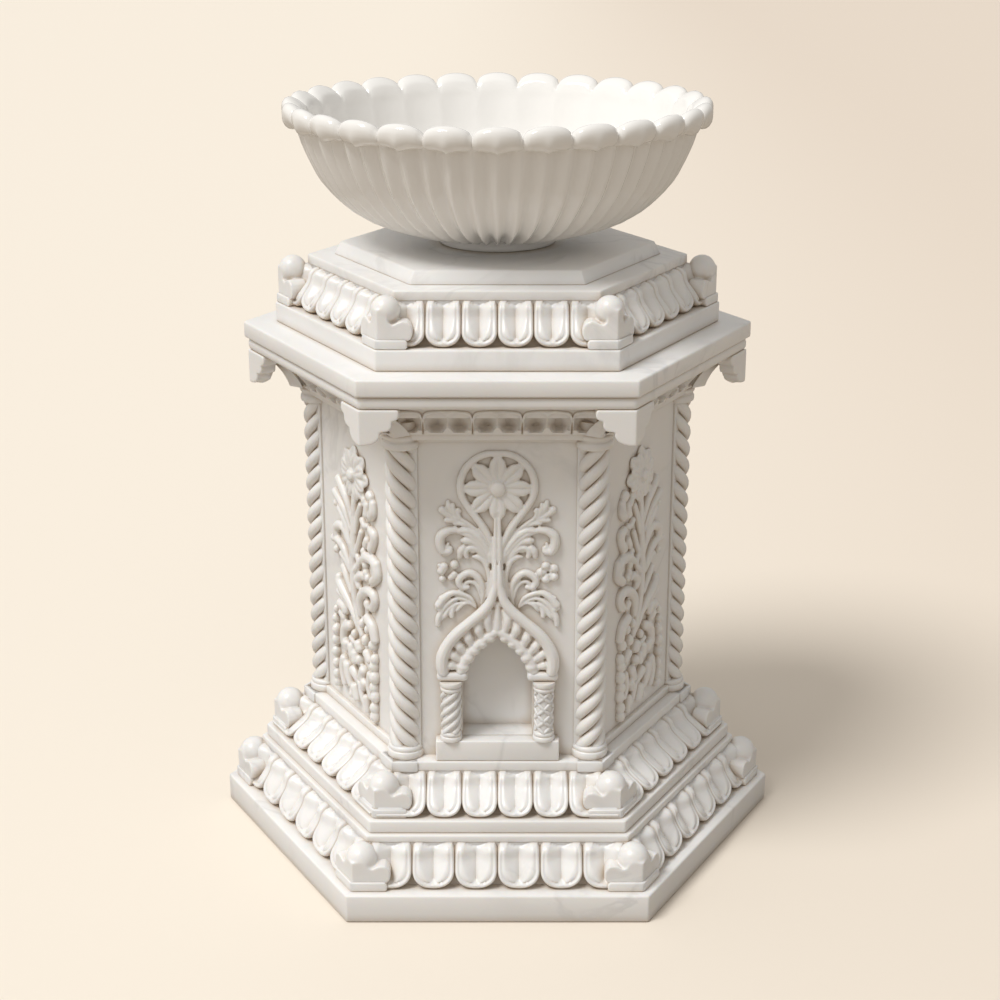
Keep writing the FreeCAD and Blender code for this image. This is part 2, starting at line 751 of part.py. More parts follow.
def panels():
    """Six carved shaft panels; the front one has the niche."""
    slab = doc.addObject("Part::Cut", "panel_slab")
    slab.Base = panel_blank()
    slab.Tool = doc.addObject("Part::Feature", "column_seats")
    slab.Tool.Shape = column_seats()
    opened = doc.addObject("Part::Cut", "opened_slab")
    opened.Base = slab
    opened.Tool = niche_cutter()
    front = (FRONT_CARVING_SHARES, mirrored_shares(FRONT_CARVING_SHARES))
    carved("front_panel", opened, carving("front_carving", front, FRONT_FLOWER_SHARES))
    left = carving("left_carving", SIDE_CARVING_SHARES, SIDE_FLOWER_SHARES)
    across, up, radius = SIDE_FLOWER_SHARES
    mirrored = tuple(mirrored_shares(outline) for outline in SIDE_CARVING_SHARES)
    right = carving("right_carving", mirrored, (-across, up, radius))
    for index, side in enumerate(("right_front", "right_back", "back", "left_back", "left_front"), start=1):
        raised = right if side.startswith("right") else left
        carved(f"{side}_panel", slab, raised, CORNER_TURN * index)


def niche_parts():
    """Back slab and sill of the niche."""
    back = doc.addObject("Part::Box", "niche_back")
    lap = cell("niche_back_lap")
    bind(back, Length=f"{cell('niche_width')} + 2 * {lap}", Width=cell("niche_back_thickness"))
    bind(back, Height=f"{cell('niche_height')} + 2 * {lap}")
    bind(back, at_x=f"-{cell('niche_width')} / 2 - {lap}")
    bind(back, at_y=f"-{face_cell('panel_radius')} + {cell('panel_thickness')}")
    bind(back, at_z=f"{foot_of('shaft')} + {cell('sill_height')} - {lap}")
    keep(back, "niche_back")
    sill = doc.addObject("Part::Box", "niche_sill")
    bind(sill, Length=cell("sill_width"), Width=cell("sill_reach"), Height=cell("sill_height"))
    bind(sill, at_x=f"-{cell('sill_width')} / 2", at_z=foot_of("shaft"))
    bind(sill, at_y=f"-{face_cell('panel_radius')} - {cell('sill_reach')}")
    keep(sill, "niche_sill")


def colonnette(side, sign):
    """Small engaged column beside the niche: shaft with a ring at foot and head."""
    floor = f"{foot_of('shaft')} + {cell('sill_height')}"
    middle = f"{sign} * {cell('colonnette_place')}"
    depth = f"-{face_cell('panel_radius')} - {cell('arch_thickness')} / 2"
    pieces = []
    head = f"{floor} + {cell('colonnette_height')} - {cell('colonnette_ring_height')}"
    for name, radius, height, level in (
            ("shaft", "colonnette_radius", "colonnette_height", floor),
            ("foot", "colonnette_ring_radius", "colonnette_ring_height", floor),
            ("head", "colonnette_ring_radius", "colonnette_ring_height", head)):
        piece = doc.addObject("Part::Cylinder", f"colonnette_{side}_{name}")
        bind(piece, Radius=cell(radius), Height=cell(height), at_x=middle, at_y=depth, at_z=level)
        pieces.append(piece)
    whole = doc.addObject("Part::MultiFuse", f"colonnette_{side}_whole")
    whole.Shapes = pieces
    front = doc.addObject("Part::Box", f"colonnette_{side}_front")
    bind(front, Length=f"4 * {cell('colonnette_ring_radius')}", Width=cell("sill_reach"))
    bind(front, Height=cell("colonnette_height"), at_z=floor)
    bind(front, at_x=f"{middle} - 2 * {cell('colonnette_ring_radius')}")
    bind(front, at_y=f"-{face_cell('panel_radius')} - {cell('sill_reach')}")
    half = doc.addObject("Part::Common", f"niche_colonnette_{side}")
    half.Base = whole
    half.Tool = front
    keep(half, f"niche_colonnette_{side}")


def mirrored_edges(edges):
    """The same edges on the other side of the middle plane."""
    return [edge.mirror(CENTRE, Vector(1, 0, 0)) for edge in edges]


def arch_face():
    """Front view of the niche arch, with its level at the impost's foot."""
    half = size("niche_width") / 2 - size("fit_clearance")
    pad = size("impost_height")
    outer = size("colonnette_place") + size("impost_width") / 2
    opening = size("arch_opening_rise")
    edges = [Part.makeLine(Vector(outer, 0, 0), Vector(half, 0, 0))]
    edges.append(Part.makeLine(Vector(half, 0, 0), Vector(half, 0, pad)))
    for shares in CUSP_SHARES:
        points = [share_point(share, half, opening) + UP * pad for share in shares]
        edges.append(arc_edge(*points))
    edges.append(Part.makeLine(Vector(outer, 0, 0), Vector(outer, 0, pad)))
    points = [share_point(share, outer, size("arch_rise")) + UP * pad for share in ARCH_OUTER_SHARES]
    edges.append(arc_edge(*points))
    edges += mirrored_edges(edges)
    return upright_face(Part.sortEdges(edges)[0])


def niche_arch():
    """Cusped arch stone on its two impost pads."""
    level = foot_level("shaft") + size("sill_height") + size("colonnette_height")
    stone = arch_face().extrude(Vector(0, -size("arch_thickness"), 0))
    stone.translate(Vector(0, -apothem("panel_radius"), level))
    shape_part("niche_arch", stone)


# Head of the shaft and cornice


def frieze_course():
    """Head stone: corbelled petals, with notches for the capitals."""
    names = ("frieze_height", "frieze_foot_radius", "frieze_head_radius")
    levels = band_levels("frieze_course", *names, FRIEZE_SHARES)
    foot = levels[0][0]
    radius = size("capital_block_radius") + size("fit_clearance")
    stone = petal_band(levels, size("frieze_end_petal"), FRIEZE_PETALS, radius)
    seat = size("frieze_seat_height")
    seats = [Part.makeCylinder(radius, seat, place + UP * foot) for place in pin_places()]
    pins = pin_holes(foot + seat, size("pin_bite"))
    dowels = dowel_holes(levels[-1][0] - size("dowel_bite"), levels[-1][0])
    shape_part("frieze_course", stone.cut(seats + pins + dowels))


def bracket_face(length, height):
    """Front view of a bracket's wing, hanging from the corner edge."""
    edges = [Part.makeLine(CENTRE, Vector(length, 0, 0))]
    for shares in BRACKET_LOBE_SHARES:
        edges.append(arc_edge(*[share_point(share, length, -height) for share in shares]))
    edges.append(Part.makeLine(share_point(BRACKET_LOBE_SHARES[-1][-1], length, -height), CENTRE))
    return upright_face(edges)


def brackets():
    """Six lobed corner brackets under the cornice moulding."""
    face = bracket_face(size("bracket_length"), size("bracket_height"))
    level = foot_level("cornice_moulding")
    wings = both_wings(face, size("bracket_depth"), size("bracket_radius"), level)
    shape = wings[0].fuse(wings[1]).removeSplitter()
    for index in range(SIDES):
        shape_part(f"bracket_{index + 1}", shape, CORNER_TURN * index)


# Dowels


def dowel_set(label, foot, head):
    """One set of equal steel dowels."""
    dowels = []
    for index in range(DOWEL_COUNT):
        place = at_angle(size("dowel_place"), index * 360.0 / DOWEL_COUNT, foot)
        dowels.append(Part.makeCylinder(size("dowel_radius"), head - foot, place))
    shape_part(label, Part.makeCompound(dowels))


def dowels():
    """Dowels through the plinth courses and through the head courses."""
    bite = size("dowel_bite")
    dowel_set("plinth_dowels", foot_level("lower_petal_course") - bite, foot_level("middle_cap_plate"))
    dowel_set("head_dowels", foot_level("cornice_moulding") - bite, foot_level("upper_cap_plate"))


# Bowl


def bowl_point(row, fraction):
    """Point of one lobe: row runs along the section, fraction across the lobe."""
    radius = size("bowl_rim_radius")
    height = size("bowl_height")
    foot = foot_level("bowl") + size("bowl_foot_height")
    across = math.sin(fraction * math.pi / 2) / 2
    wall = len(BOWL_WALL_SHARES)
    rim = wall + len(BOWL_LOBE_SHARES)
    if row < wall:
        share = BOWL_WALL_SHARES[row]
        ends = row in (0, wall - 1)
        flute = 0 if ends else size("bowl_flute") * (1 - math.cos(4 * math.pi * across)) / 2
        place = (share[0] * radius - flute, share[1] * height)
    elif row < rim:
        arch = math.cos(fraction * math.pi / 2)
        lobe = BOWL_LOBE_SHARES[row - wall]
        notch = BOWL_NOTCH_SHARES[row - wall]
        mixed = [n + (l - n) * arch for n, l in zip(notch, lobe)]
        place = (mixed[0] * radius, mixed[1] * height)
    else:
        share = BOWL_INSIDE_SHARES[row - rim]
        place = (share[0] * radius, share[1] * height)
    return at_angle(place[0], across * 360.0 / BOWL_LOBES, foot + place[1])


def bowl_lobes():
    """The fluted wall, rim and inside as one patch for each lobe."""
    rows = len(BOWL_WALL_SHARES) + len(BOWL_LOBE_SHARES) + len(BOWL_INSIDE_SHARES)
    fractions = [2.0 * i / LOBE_COLUMNS - 1 for i in range(LOBE_COLUMNS + 1)]
    surface = Part.BSplineSurface()
    surface.interpolate([[bowl_point(row, f) for f in fractions] for row in range(rows)])
    patch = surface.toShape()
    faces = []
    for index in range(BOWL_LOBES):
        face = patch.copy()
        face.rotate(CENTRE, UP, index * 360.0 / BOWL_LOBES)
        faces.append(face)
    return faces


def level_edges(faces, level):
    """Edges of the patches that lie all along on one level."""
    near = size("fit_clearance") / 100
    found = []
    for face in faces:
        for edge in face.Edges:
            box = edge.BoundBox
            if abs(box.ZMin - level) < near and abs(box.ZMax - level) < near:
                found.append(edge)
    return found


def flat_ring(edges, drain):
    """Flat face between a ring of edges and the drain hole's edge."""
    whole = Part.Face(Part.Wire(Part.sortEdges(edges)[0]))
    return whole.cut(Part.Face(Part.Wire([drain]))).Faces[0]


def bowl():
    """Fluted bowl with its foot and drain hole, sewn from faces."""
    foot = foot_level("bowl")
    wall_foot = foot + size("bowl_foot_height")
    inside = wall_foot + BOWL_INSIDE_SHARES[-1][1] * size("bowl_height")
    faces = bowl_lobes()
    foot_edges = level_edges(faces, wall_foot)
    down = UP * -size("bowl_foot_height")
    skirt = [edge.extrude(down) for edge in foot_edges]
    lowest = [edge.translated(down) for edge in foot_edges]
    drain_low = Part.makeCircle(size("drain_radius"), UP * foot)
    drain_high = drain_low.translated(UP * (inside - foot))
    drain_wall = drain_low.extrude(UP * (inside - foot))
    lids = [flat_ring(lowest, drain_low), flat_ring(level_edges(faces, inside), drain_high)]
    shell = Part.makeShell(faces + skirt + lids + [drain_wall])
    shell.sewShape()
    solid = Part.makeSolid(shell)
    if solid.Volume < 0:
        solid.reverse()
    shape_part("bowl", solid)


def middle_cap():
    """Plate under the shaft, drilled for the column pins."""
    plate = cap_blank("middle")
    head = foot_level("shaft")
    shape_part("middle_cap_plate", plate.cut(pin_holes(head - size("pin_bite"), size("pin_bite"))))


def build():
    """Makes every sub-part, from the floor up."""
    fill_sheet()
    hex_slab("base_slab", "base_slab_radius", "base_slab_height", dowels="top")
    tier_band("lower")
    corner_blocks("lower")
    hex_slab("lower_cap_plate", "lower_cap_radius", "lower_cap_height", dowels="through")
    hex_slab("middle_slab", "middle_slab_radius", "middle_slab_height", dowels="through")
    tier_band("middle")
    corner_blocks("middle")
    middle_cap()
    panels()
    niche_parts()
    colonnette("left", "-1")
    colonnette("right", "1")
    niche_arch()
    columns()
    column_pins()
    frieze_course()
    brackets()
    hex_slab("cornice_moulding", "moulding_radius", "moulding_height", "moulding_nose", True, "through")
    hex_slab("cornice_slab", "cornice_radius", "cornice_height", dowels="through")
    hex_slab("upper_slab", "upper_slab_radius", "upper_slab_height", dowels="through")
    tier_band("upper")
    corner_blocks("upper")
    hex_slab("upper_cap_plate", "upper_cap_radius", "upper_cap_height")
    top_plate()
    dowels()
    bowl()


def check():
    """Stops if any object failed or any sub-part has no valid shape."""
    doc.recompute()
    for thing in doc.Objects:
        if "Invalid" in thing.State or "Error" in thing.State:
            raise RuntimeError(f"{thing.Label} did not recompute: {thing.State}")
    for part in sub_parts:
        if part.Shape.isNull() or not part.Shape.isValid():
            raise RuntimeError(f"{part.Label} has no valid shape")
        if not part.Shape.Solids:
            raise RuntimeError(f"{part.Label} holds no solid")


def export():
    """Writes each sub-part to its own file."""
    os.makedirs("parts", exist_ok=True)
    for part in sub_parts:
        part.Shape.exportStep(f"parts/{part.Label}.step")


build()
check()
export()
print(f"{len(sub_parts)} sub-parts written")
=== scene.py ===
import logging
import math
from collections.abc import Callable, Iterator, Sequence
from contextlib import contextmanager
from dataclasses import dataclass
from enum import Enum

import bpy
from mathutils import Matrix, Vector


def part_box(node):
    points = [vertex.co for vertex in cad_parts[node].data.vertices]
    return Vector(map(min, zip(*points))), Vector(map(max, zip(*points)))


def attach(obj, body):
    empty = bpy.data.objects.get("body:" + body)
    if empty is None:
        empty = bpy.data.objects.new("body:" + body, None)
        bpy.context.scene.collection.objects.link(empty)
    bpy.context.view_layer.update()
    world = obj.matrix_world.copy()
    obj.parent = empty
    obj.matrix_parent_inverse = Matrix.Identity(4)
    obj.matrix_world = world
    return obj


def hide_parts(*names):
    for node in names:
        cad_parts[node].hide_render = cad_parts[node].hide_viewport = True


# Carved white marble planter pedestal, dressed for the picture.
# Sizes in the classes are millimetres; meshes are metres, in the frame's own axes.

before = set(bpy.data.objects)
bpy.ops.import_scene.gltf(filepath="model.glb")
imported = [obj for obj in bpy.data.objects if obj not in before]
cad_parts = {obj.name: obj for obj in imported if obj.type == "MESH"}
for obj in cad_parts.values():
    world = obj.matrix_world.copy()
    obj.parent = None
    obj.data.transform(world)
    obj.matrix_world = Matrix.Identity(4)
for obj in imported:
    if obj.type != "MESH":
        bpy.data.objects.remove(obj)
MM = 0.001
SIDES = 6
TURN = math.tau / SIDES
Piece = bpy.types.Object
Tree = bpy.types.NodeTree
Socket = bpy.types.NodeSocket
Colour = tuple[float, float, float]
Outline = Sequence[tuple[float, float]]
Stroke = tuple[tuple[float, float, float], ...]
log = logging.getLogger("planter")


def clamp(value: float) -> float:
    """The value, held between 0 and 1."""
    return min(max(value, 0.0), 1.0)


def hump(value: float, middle: float, spread: float) -> float:
    """Soft hump of height 1 over a middle, narrower with a smaller spread."""
    return math.exp(-((value - middle) / spread)**2)


class Body(Enum):
    """The two bodies of the frame."""

    PEDESTAL = "pedestal"
    BOWL = "bowl"


class Slot(Enum):
    """Names of the material slots."""

    MARBLE = "marble"
    BOWL = "bowl_marble"
    STEEL = "steel"


class Workshop:
    """Modelling steps that every piece shares."""

    @staticmethod
    def focus(*pieces: Piece) -> None:
        """Selects these pieces alone, the first one active."""
        bpy.ops.object.select_all(action="DESELECT")
        for piece in pieces:
            piece.select_set(True)
        bpy.context.view_layer.objects.active = pieces[0]

    @staticmethod
    @contextmanager
    def editing(piece: Piece) -> Iterator[None]:
        """Edit mode on one piece, with all of it selected."""
        Workshop.focus(piece)
        bpy.ops.object.mode_set(mode="EDIT")
        bpy.ops.mesh.select_all(action="SELECT")
        yield
        bpy.ops.object.mode_set(mode="OBJECT")

    @staticmethod
    def settle(piece: Piece) -> Piece:
        """Moves a piece's place and turn into its mesh."""
        Workshop.focus(piece)
        bpy.ops.object.transform_apply(location=True, rotation=True, scale=True)
        return piece

    @staticmethod
    def apply(piece: Piece, kind: str, **settings: object) -> Piece:
        """Adds a modifier and applies it.

        Args:
            piece: the mesh object.
            kind: the modifier's type, such as BEVEL.
            settings: its properties by name.

        Returns:
            The same piece.
        """
        Workshop.focus(piece)
        modifier = piece.modifiers.new("step", kind)
        for name, value in settings.items():
            setattr(modifier, name, value)
        bpy.ops.object.modifier_apply(modifier=modifier.name)
        return piece

    @staticmethod
    def join(pieces: Sequence[Piece]) -> Piece:
        """Joins pieces into the first one."""
        Workshop.focus(*pieces)
        if len(pieces) > 1:
            bpy.ops.object.join()
        return pieces[0]

    @staticmethod
    def copy(piece: Piece, change: Matrix) -> Piece:
        """A copy with its own mesh, moved by a matrix."""
        twin = piece.copy()
        twin.data = piece.data.copy()
        twin.data.transform(change)
        if change.determinant() < 0:
            twin.data.flip_normals()
        bpy.context.collection.objects.link(twin)
        return twin

    @staticmethod
    def around(piece: Piece, count: int) -> Piece:
        """The piece repeated evenly about the middle axis, as one mesh."""
        turns = [Matrix.Rotation(math.tau * i / count, 4, "Z") for i in range(1, count)]
        return Workshop.join([piece] + [Workshop.copy(piece, turn) for turn in turns])

    @staticmethod
    def in_row(shapes: Sequence[Piece], pitch: float) -> Piece:
        """Copies of the shapes side by side about the middle, a pitch in millimetres apart."""
        first = (1 - len(shapes)) / 2
        moves = [Matrix.Translation(Vector(((first + i) * pitch * MM, 0, 0))) for i in range(len(shapes))]
        return Workshop.join([Workshop.copy(shape, move) for shape, move in zip(shapes, moves)])

    @staticmethod
    def shift(piece: Piece, x: float = 0.0, y: float = 0.0, z: float = 0.0) -> Piece:
        """Moves a piece's mesh by millimetres."""
        piece.data.transform(Matrix.Translation(Vector((x, y, z)) * MM))
        return piece

    @staticmethod
    def mend(piece: Piece, gap: float = 0.01) -> Piece:
        """Merges doubled points and turns all faces outwards."""
        with Workshop.editing(piece):
            bpy.ops.mesh.remove_doubles(threshold=gap * MM)
            bpy.ops.mesh.normals_make_consistent(inside=False)
        return piece

    @staticmethod
    def stock(make: Callable[..., object], **settings: object) -> Piece:
        """New stock shape from one of Blender's primitive operators."""
        bpy.ops.object.select_all(action="DESELECT")
        make(**settings)
        return bpy.context.object

    @staticmethod
    def block(low: Vector, high: Vector, edge: float, segments: int = 3) -> Piece:
        """Box between two corners in metres, its edges rounded by millimetres."""
        piece = Workshop.stock(bpy.ops.mesh.primitive_cube_add, size=1, location=(low + high) / 2)
        piece.scale = high - low
        Workshop.settle(piece)
        return Workshop.apply(piece, "BEVEL", width=edge * MM, segments=segments)

    @staticmethod
    def from_points(points: Sequence[Vector], edges: Sequence[Sequence[int]],
                    faces: Sequence[Sequence[int]]) -> Piece:
        """New object from points in metres, with edges or faces between them."""
        mesh = bpy.data.meshes.new("outline")
        mesh.from_pydata(points, edges, faces)
        piece = bpy.data.objects.new("outline", mesh)
        bpy.context.collection.objects.link(piece)
        return piece

    @staticmethod
    def close_back(piece: Piece, depth: float) -> Piece:
        """Draws a sheet's border back towards +Y and closes it behind."""
        with Workshop.editing(piece):
            bpy.ops.mesh.region_to_loop()
            move = {"value": (0.0, depth * MM, 0.0)}
            bpy.ops.mesh.extrude_region_move(TRANSFORM_OT_translate=move)
            bpy.ops.mesh.edge_face_add()
            bpy.ops.mesh.select_all(action="SELECT")
            bpy.ops.mesh.normals_make_consistent(inside=False)
        return piece

    @staticmethod
    def rods(paths: Sequence[Sequence[Vector]], thickness: float) -> Piece:
        """Round rods along paths.

        Args:
            paths: points of x, y and z in millimetres and the rod's share of the thickness.
            thickness: radius in millimetres where that share is 1.

        Returns:
            All rods as one mesh.
        """
        curve = bpy.data.curves.new("rods", "CURVE")
        curve.dimensions = "3D"
        curve.bevel_depth = thickness * MM
        curve.bevel_resolution = 3
        curve.use_fill_caps = True
        for path in paths:
            spline = curve.splines.new("POLY")
            spline.points.add(len(path) - 1)
            for point, place in zip(spline.points, path):
                point.co = (*(place.xyz * MM), 1.0)
                point.radius = place.w
        piece = bpy.data.objects.new("rods", curve)
        bpy.context.collection.objects.link(piece)
        Workshop.focus(piece)
        bpy.ops.object.convert(target="MESH")
        return bpy.context.object

    @staticmethod
    def sheet(columns: int, rows: int, place: Callable[[float, float], Vector]) -> Piece:
        """Grid whose points a formula places.

        Args:
            columns: divisions across.
            rows: divisions up.
            place: gives a point in millimetres from two numbers between -1 and 1.

        Returns:
            The shaped grid.
        """
        piece = Workshop.stock(bpy.ops.mesh.primitive_grid_add, x_subdivisions=columns,
                               y_subdivisions=rows, size=2)
        for vertex in piece.data.vertices:
            vertex.co = place(vertex.co.x, vertex.co.y) * MM
        return piece

    @staticmethod
    def prism(outline: Outline, depth: float) -> Piece:
        """Front view in the XZ plane, extruded towards +Y by the extrude tool.

        Args:
            outline: its corners in millimetres, going round once.
            depth: millimetres of extrusion.

        Returns:
            A closed solid that starts on the plane Y = 0.
        """
        corners = [Vector((x, 0.0, z)) * MM for x, z in outline]
        piece = Workshop.from_points(corners, [], [list(range(len(corners)))])
        with Workshop.editing(piece):
            move = {"value": (0.0, depth * MM, 0.0)}
            bpy.ops.mesh.extrude_region_move(TRANSFORM_OT_translate=move)
            bpy.ops.mesh.select_all(action="SELECT")
            bpy.ops.mesh.normals_make_consistent(inside=False)
        return piece

    @staticmethod
    def lathe(profile: Outline, steps: int) -> Piece:
        """Profile spun about the Z axis.

        Args:
            profile: radius and level pairs in millimetres, from the axis back to the axis.
            steps: divisions of the turn.

        Returns:
            A closed turned solid.
        """
        points = [Vector((r, 0.0, z)) * MM for r, z in profile]
        piece = Workshop.from_points(points, [(i, i + 1) for i in range(len(points) - 1)], [])
        with Workshop.editing(piece):
            bpy.ops.mesh.spin(steps=steps, angle=math.tau, center=(0, 0, 0), axis=(0, 0, 1))
        return Workshop.mend(piece)

    @staticmethod
    def ball(radius: float, place: Vector, stretch: Vector = Vector((1, 1, 1))) -> Piece:
        """Sphere or egg at a place given in millimetres."""
        piece = Workshop.stock(bpy.ops.mesh.primitive_uv_sphere_add, segments=32, ring_count=20,
                               radius=radius * MM)
        piece.scale = stretch
        piece.location = place * MM
        return Workshop.settle(piece)

    @staticmethod
    def fuse(piece: Piece, grain: float, soften: int) -> Piece:
        """Melts a piece's parts into one stone skin and softens it.

        Args:
            piece: overlapping solids in one mesh.
            grain: size of the skin's cells in millimetres.
            soften: rounds of smoothing.

        Returns:
            The same piece.
        """
        Workshop.apply(piece, "REMESH", mode="VOXEL", voxel_size=grain * MM, adaptivity=0.0)
        if soften:
            Workshop.apply(piece, "SMOOTH", factor=0.5, iterations=soften)
        return piece


# Half a petal: shares of its length outwards, of its width sideways, and of its width as thickness.
HALF_PETAL: Stroke = (
    (0.24, 0.35, 0.3), (0.5, 0.72, 0.62), (0.72, 0.82, 0.72), (0.88, 0.48, 0.46), (0.985, 0.1, 0.14),
)


class Carver:
    """Carves reliefs from strokes: each is a row of places and half widths."""

    @staticmethod
    def smooth_path(stroke: Stroke, steps: int) -> list[Vector]:
        """Rounds a row of points into a soft curve.

        Args:
            stroke: points of across, level and half width in millimetres.
            steps: new points between two given ones.

        Returns:
            Points that pass through all given ones.
        """
        points = [Vector(point) for point in stroke]
        if len(points) < 2:
            return points
        ends = [2 * points[0] - points[1], *points, 2 * points[-1] - points[-2]]
        path = []
        for before, start, end, after in zip(ends, ends[1:], ends[2:], ends[3:]):
            for step in range(steps):
                t = step / steps
                bend = (2 * start + (end - before) * t
                        + (2 * before - 5 * start + 4 * end - after) * t**2
                        + (3 * start - before - 3 * end + after) * t**3)
                path.append(bend / 2)
        path.append(points[-1])
        return path

    @staticmethod
    def round_ends(path: list[Vector]) -> list[Vector]:
        """Adds closing points, so that a stroke ends in a half ball."""
        first, last = path[0], path[-1]
        if len(path) > 1:
            ahead = Vector((last.x - path[-2].x, last.y - path[-2].y, 0.0)).normalized()
            behind = Vector((first.x - path[1].x, first.y - path[1].y, 0.0)).normalized()
        else:
            ahead, behind = Vector((1.0, 0.0, 0.0)), Vector((-1.0, 0.0, 0.0))
        head, tail = [], []
        for share in (0.35, 0.65, 0.87, 0.97, 0.999):
            narrow = math.sqrt(1 - share**2)
            head.append(Vector((first.x, first.y, first.z * narrow)) + behind * first.z * share)
            tail.append(Vector((last.x, last.y, last.z * narrow)) + ahead * last.z * share)
        return head[::-1] + path + tail

    @staticmethod
    def carve(strokes: Sequence[Stroke], lift: float = 0.0, flat: float = 1.0,
              mirrored: bool = False, fuller: float = 1.0) -> Piece:
        """Turns strokes into rounded stone rods that lie on the plane Y = 0.

        Args:
            strokes: the rods' middle lines and half widths in millimetres.
            lift: how far the middle lines lie in front of the plane.
            flat: height of the rods over their width.
            mirrored: whether a second set lies on the other side of the middle.
            fuller: factor on all half widths.

        Returns:
            All rods as one mesh.
        """
        paths = []
        for sign in ((1, -1) if mirrored else (1,)):
            for stroke in strokes:
                path = Carver.round_ends(Carver.smooth_path(stroke, 5))
                paths.append([Vector((sign * x, 0.0, z, max(half * fuller, 0.05))) for x, z, half in path])
        piece = Workshop.rods(paths, 1.0)
        piece.data.transform(Matrix.Diagonal((1.0, flat, 1.0, 1.0)))
        return Workshop.shift(piece, y=-lift)

    @staticmethod
    def flower(x: float, z: float, size: float, petals: int, hub: float, lean: float = 0.0,
               lift: float = 2.0) -> Piece:
        """Open flower of creased petals round a domed middle.

        Args:
            x: its middle, across.
            z: its middle, upwards.
            size: length of a petal from the middle.
            petals: how many petals.
            hub: radius of the middle.
            lean: turn of the first petal in degrees.
            lift: how far the flower stands off the ground.

        Returns:
            The flower on the plane Y = 0.
        """
        halves = []
        for index in range(petals):
            angle = math.radians(lean) + math.tau * index / petals
            along = Vector((math.cos(angle), math.sin(angle)))
            aside = Vector((-along.y, along.x))
            wide = size * math.tan(math.pi / petals) * 0.34
            for sign in (1, -1):
                points = []
                for out, off, half in HALF_PETAL:
                    place = along * size * out + aside * sign * wide * off
                    points.append((x + place.x, z + place.y, wide * half * 1.3))
                halves.append(tuple(points))
        petal_stone = Carver.carve(halves, lift=lift, flat=0.75)
        middle = Workshop.ball(hub, Vector((x, -lift - 2.2, z)), Vector((1.0, 0.62, 1.0)))
        return Workshop.join([petal_stone, middle])


def start_material(name: str) -> tuple[bpy.types.Material, Tree, bpy.types.Node, Socket]:
    """New material with its tree, its shader and the object's own coordinates."""
    material = bpy.data.materials.new(name)
    material.use_nodes = True
    tree = material.node_tree
    place = tree.nodes.new("ShaderNodeTexCoord").outputs["Object"]
    return material, tree, tree.nodes["Principled BSDF"], place


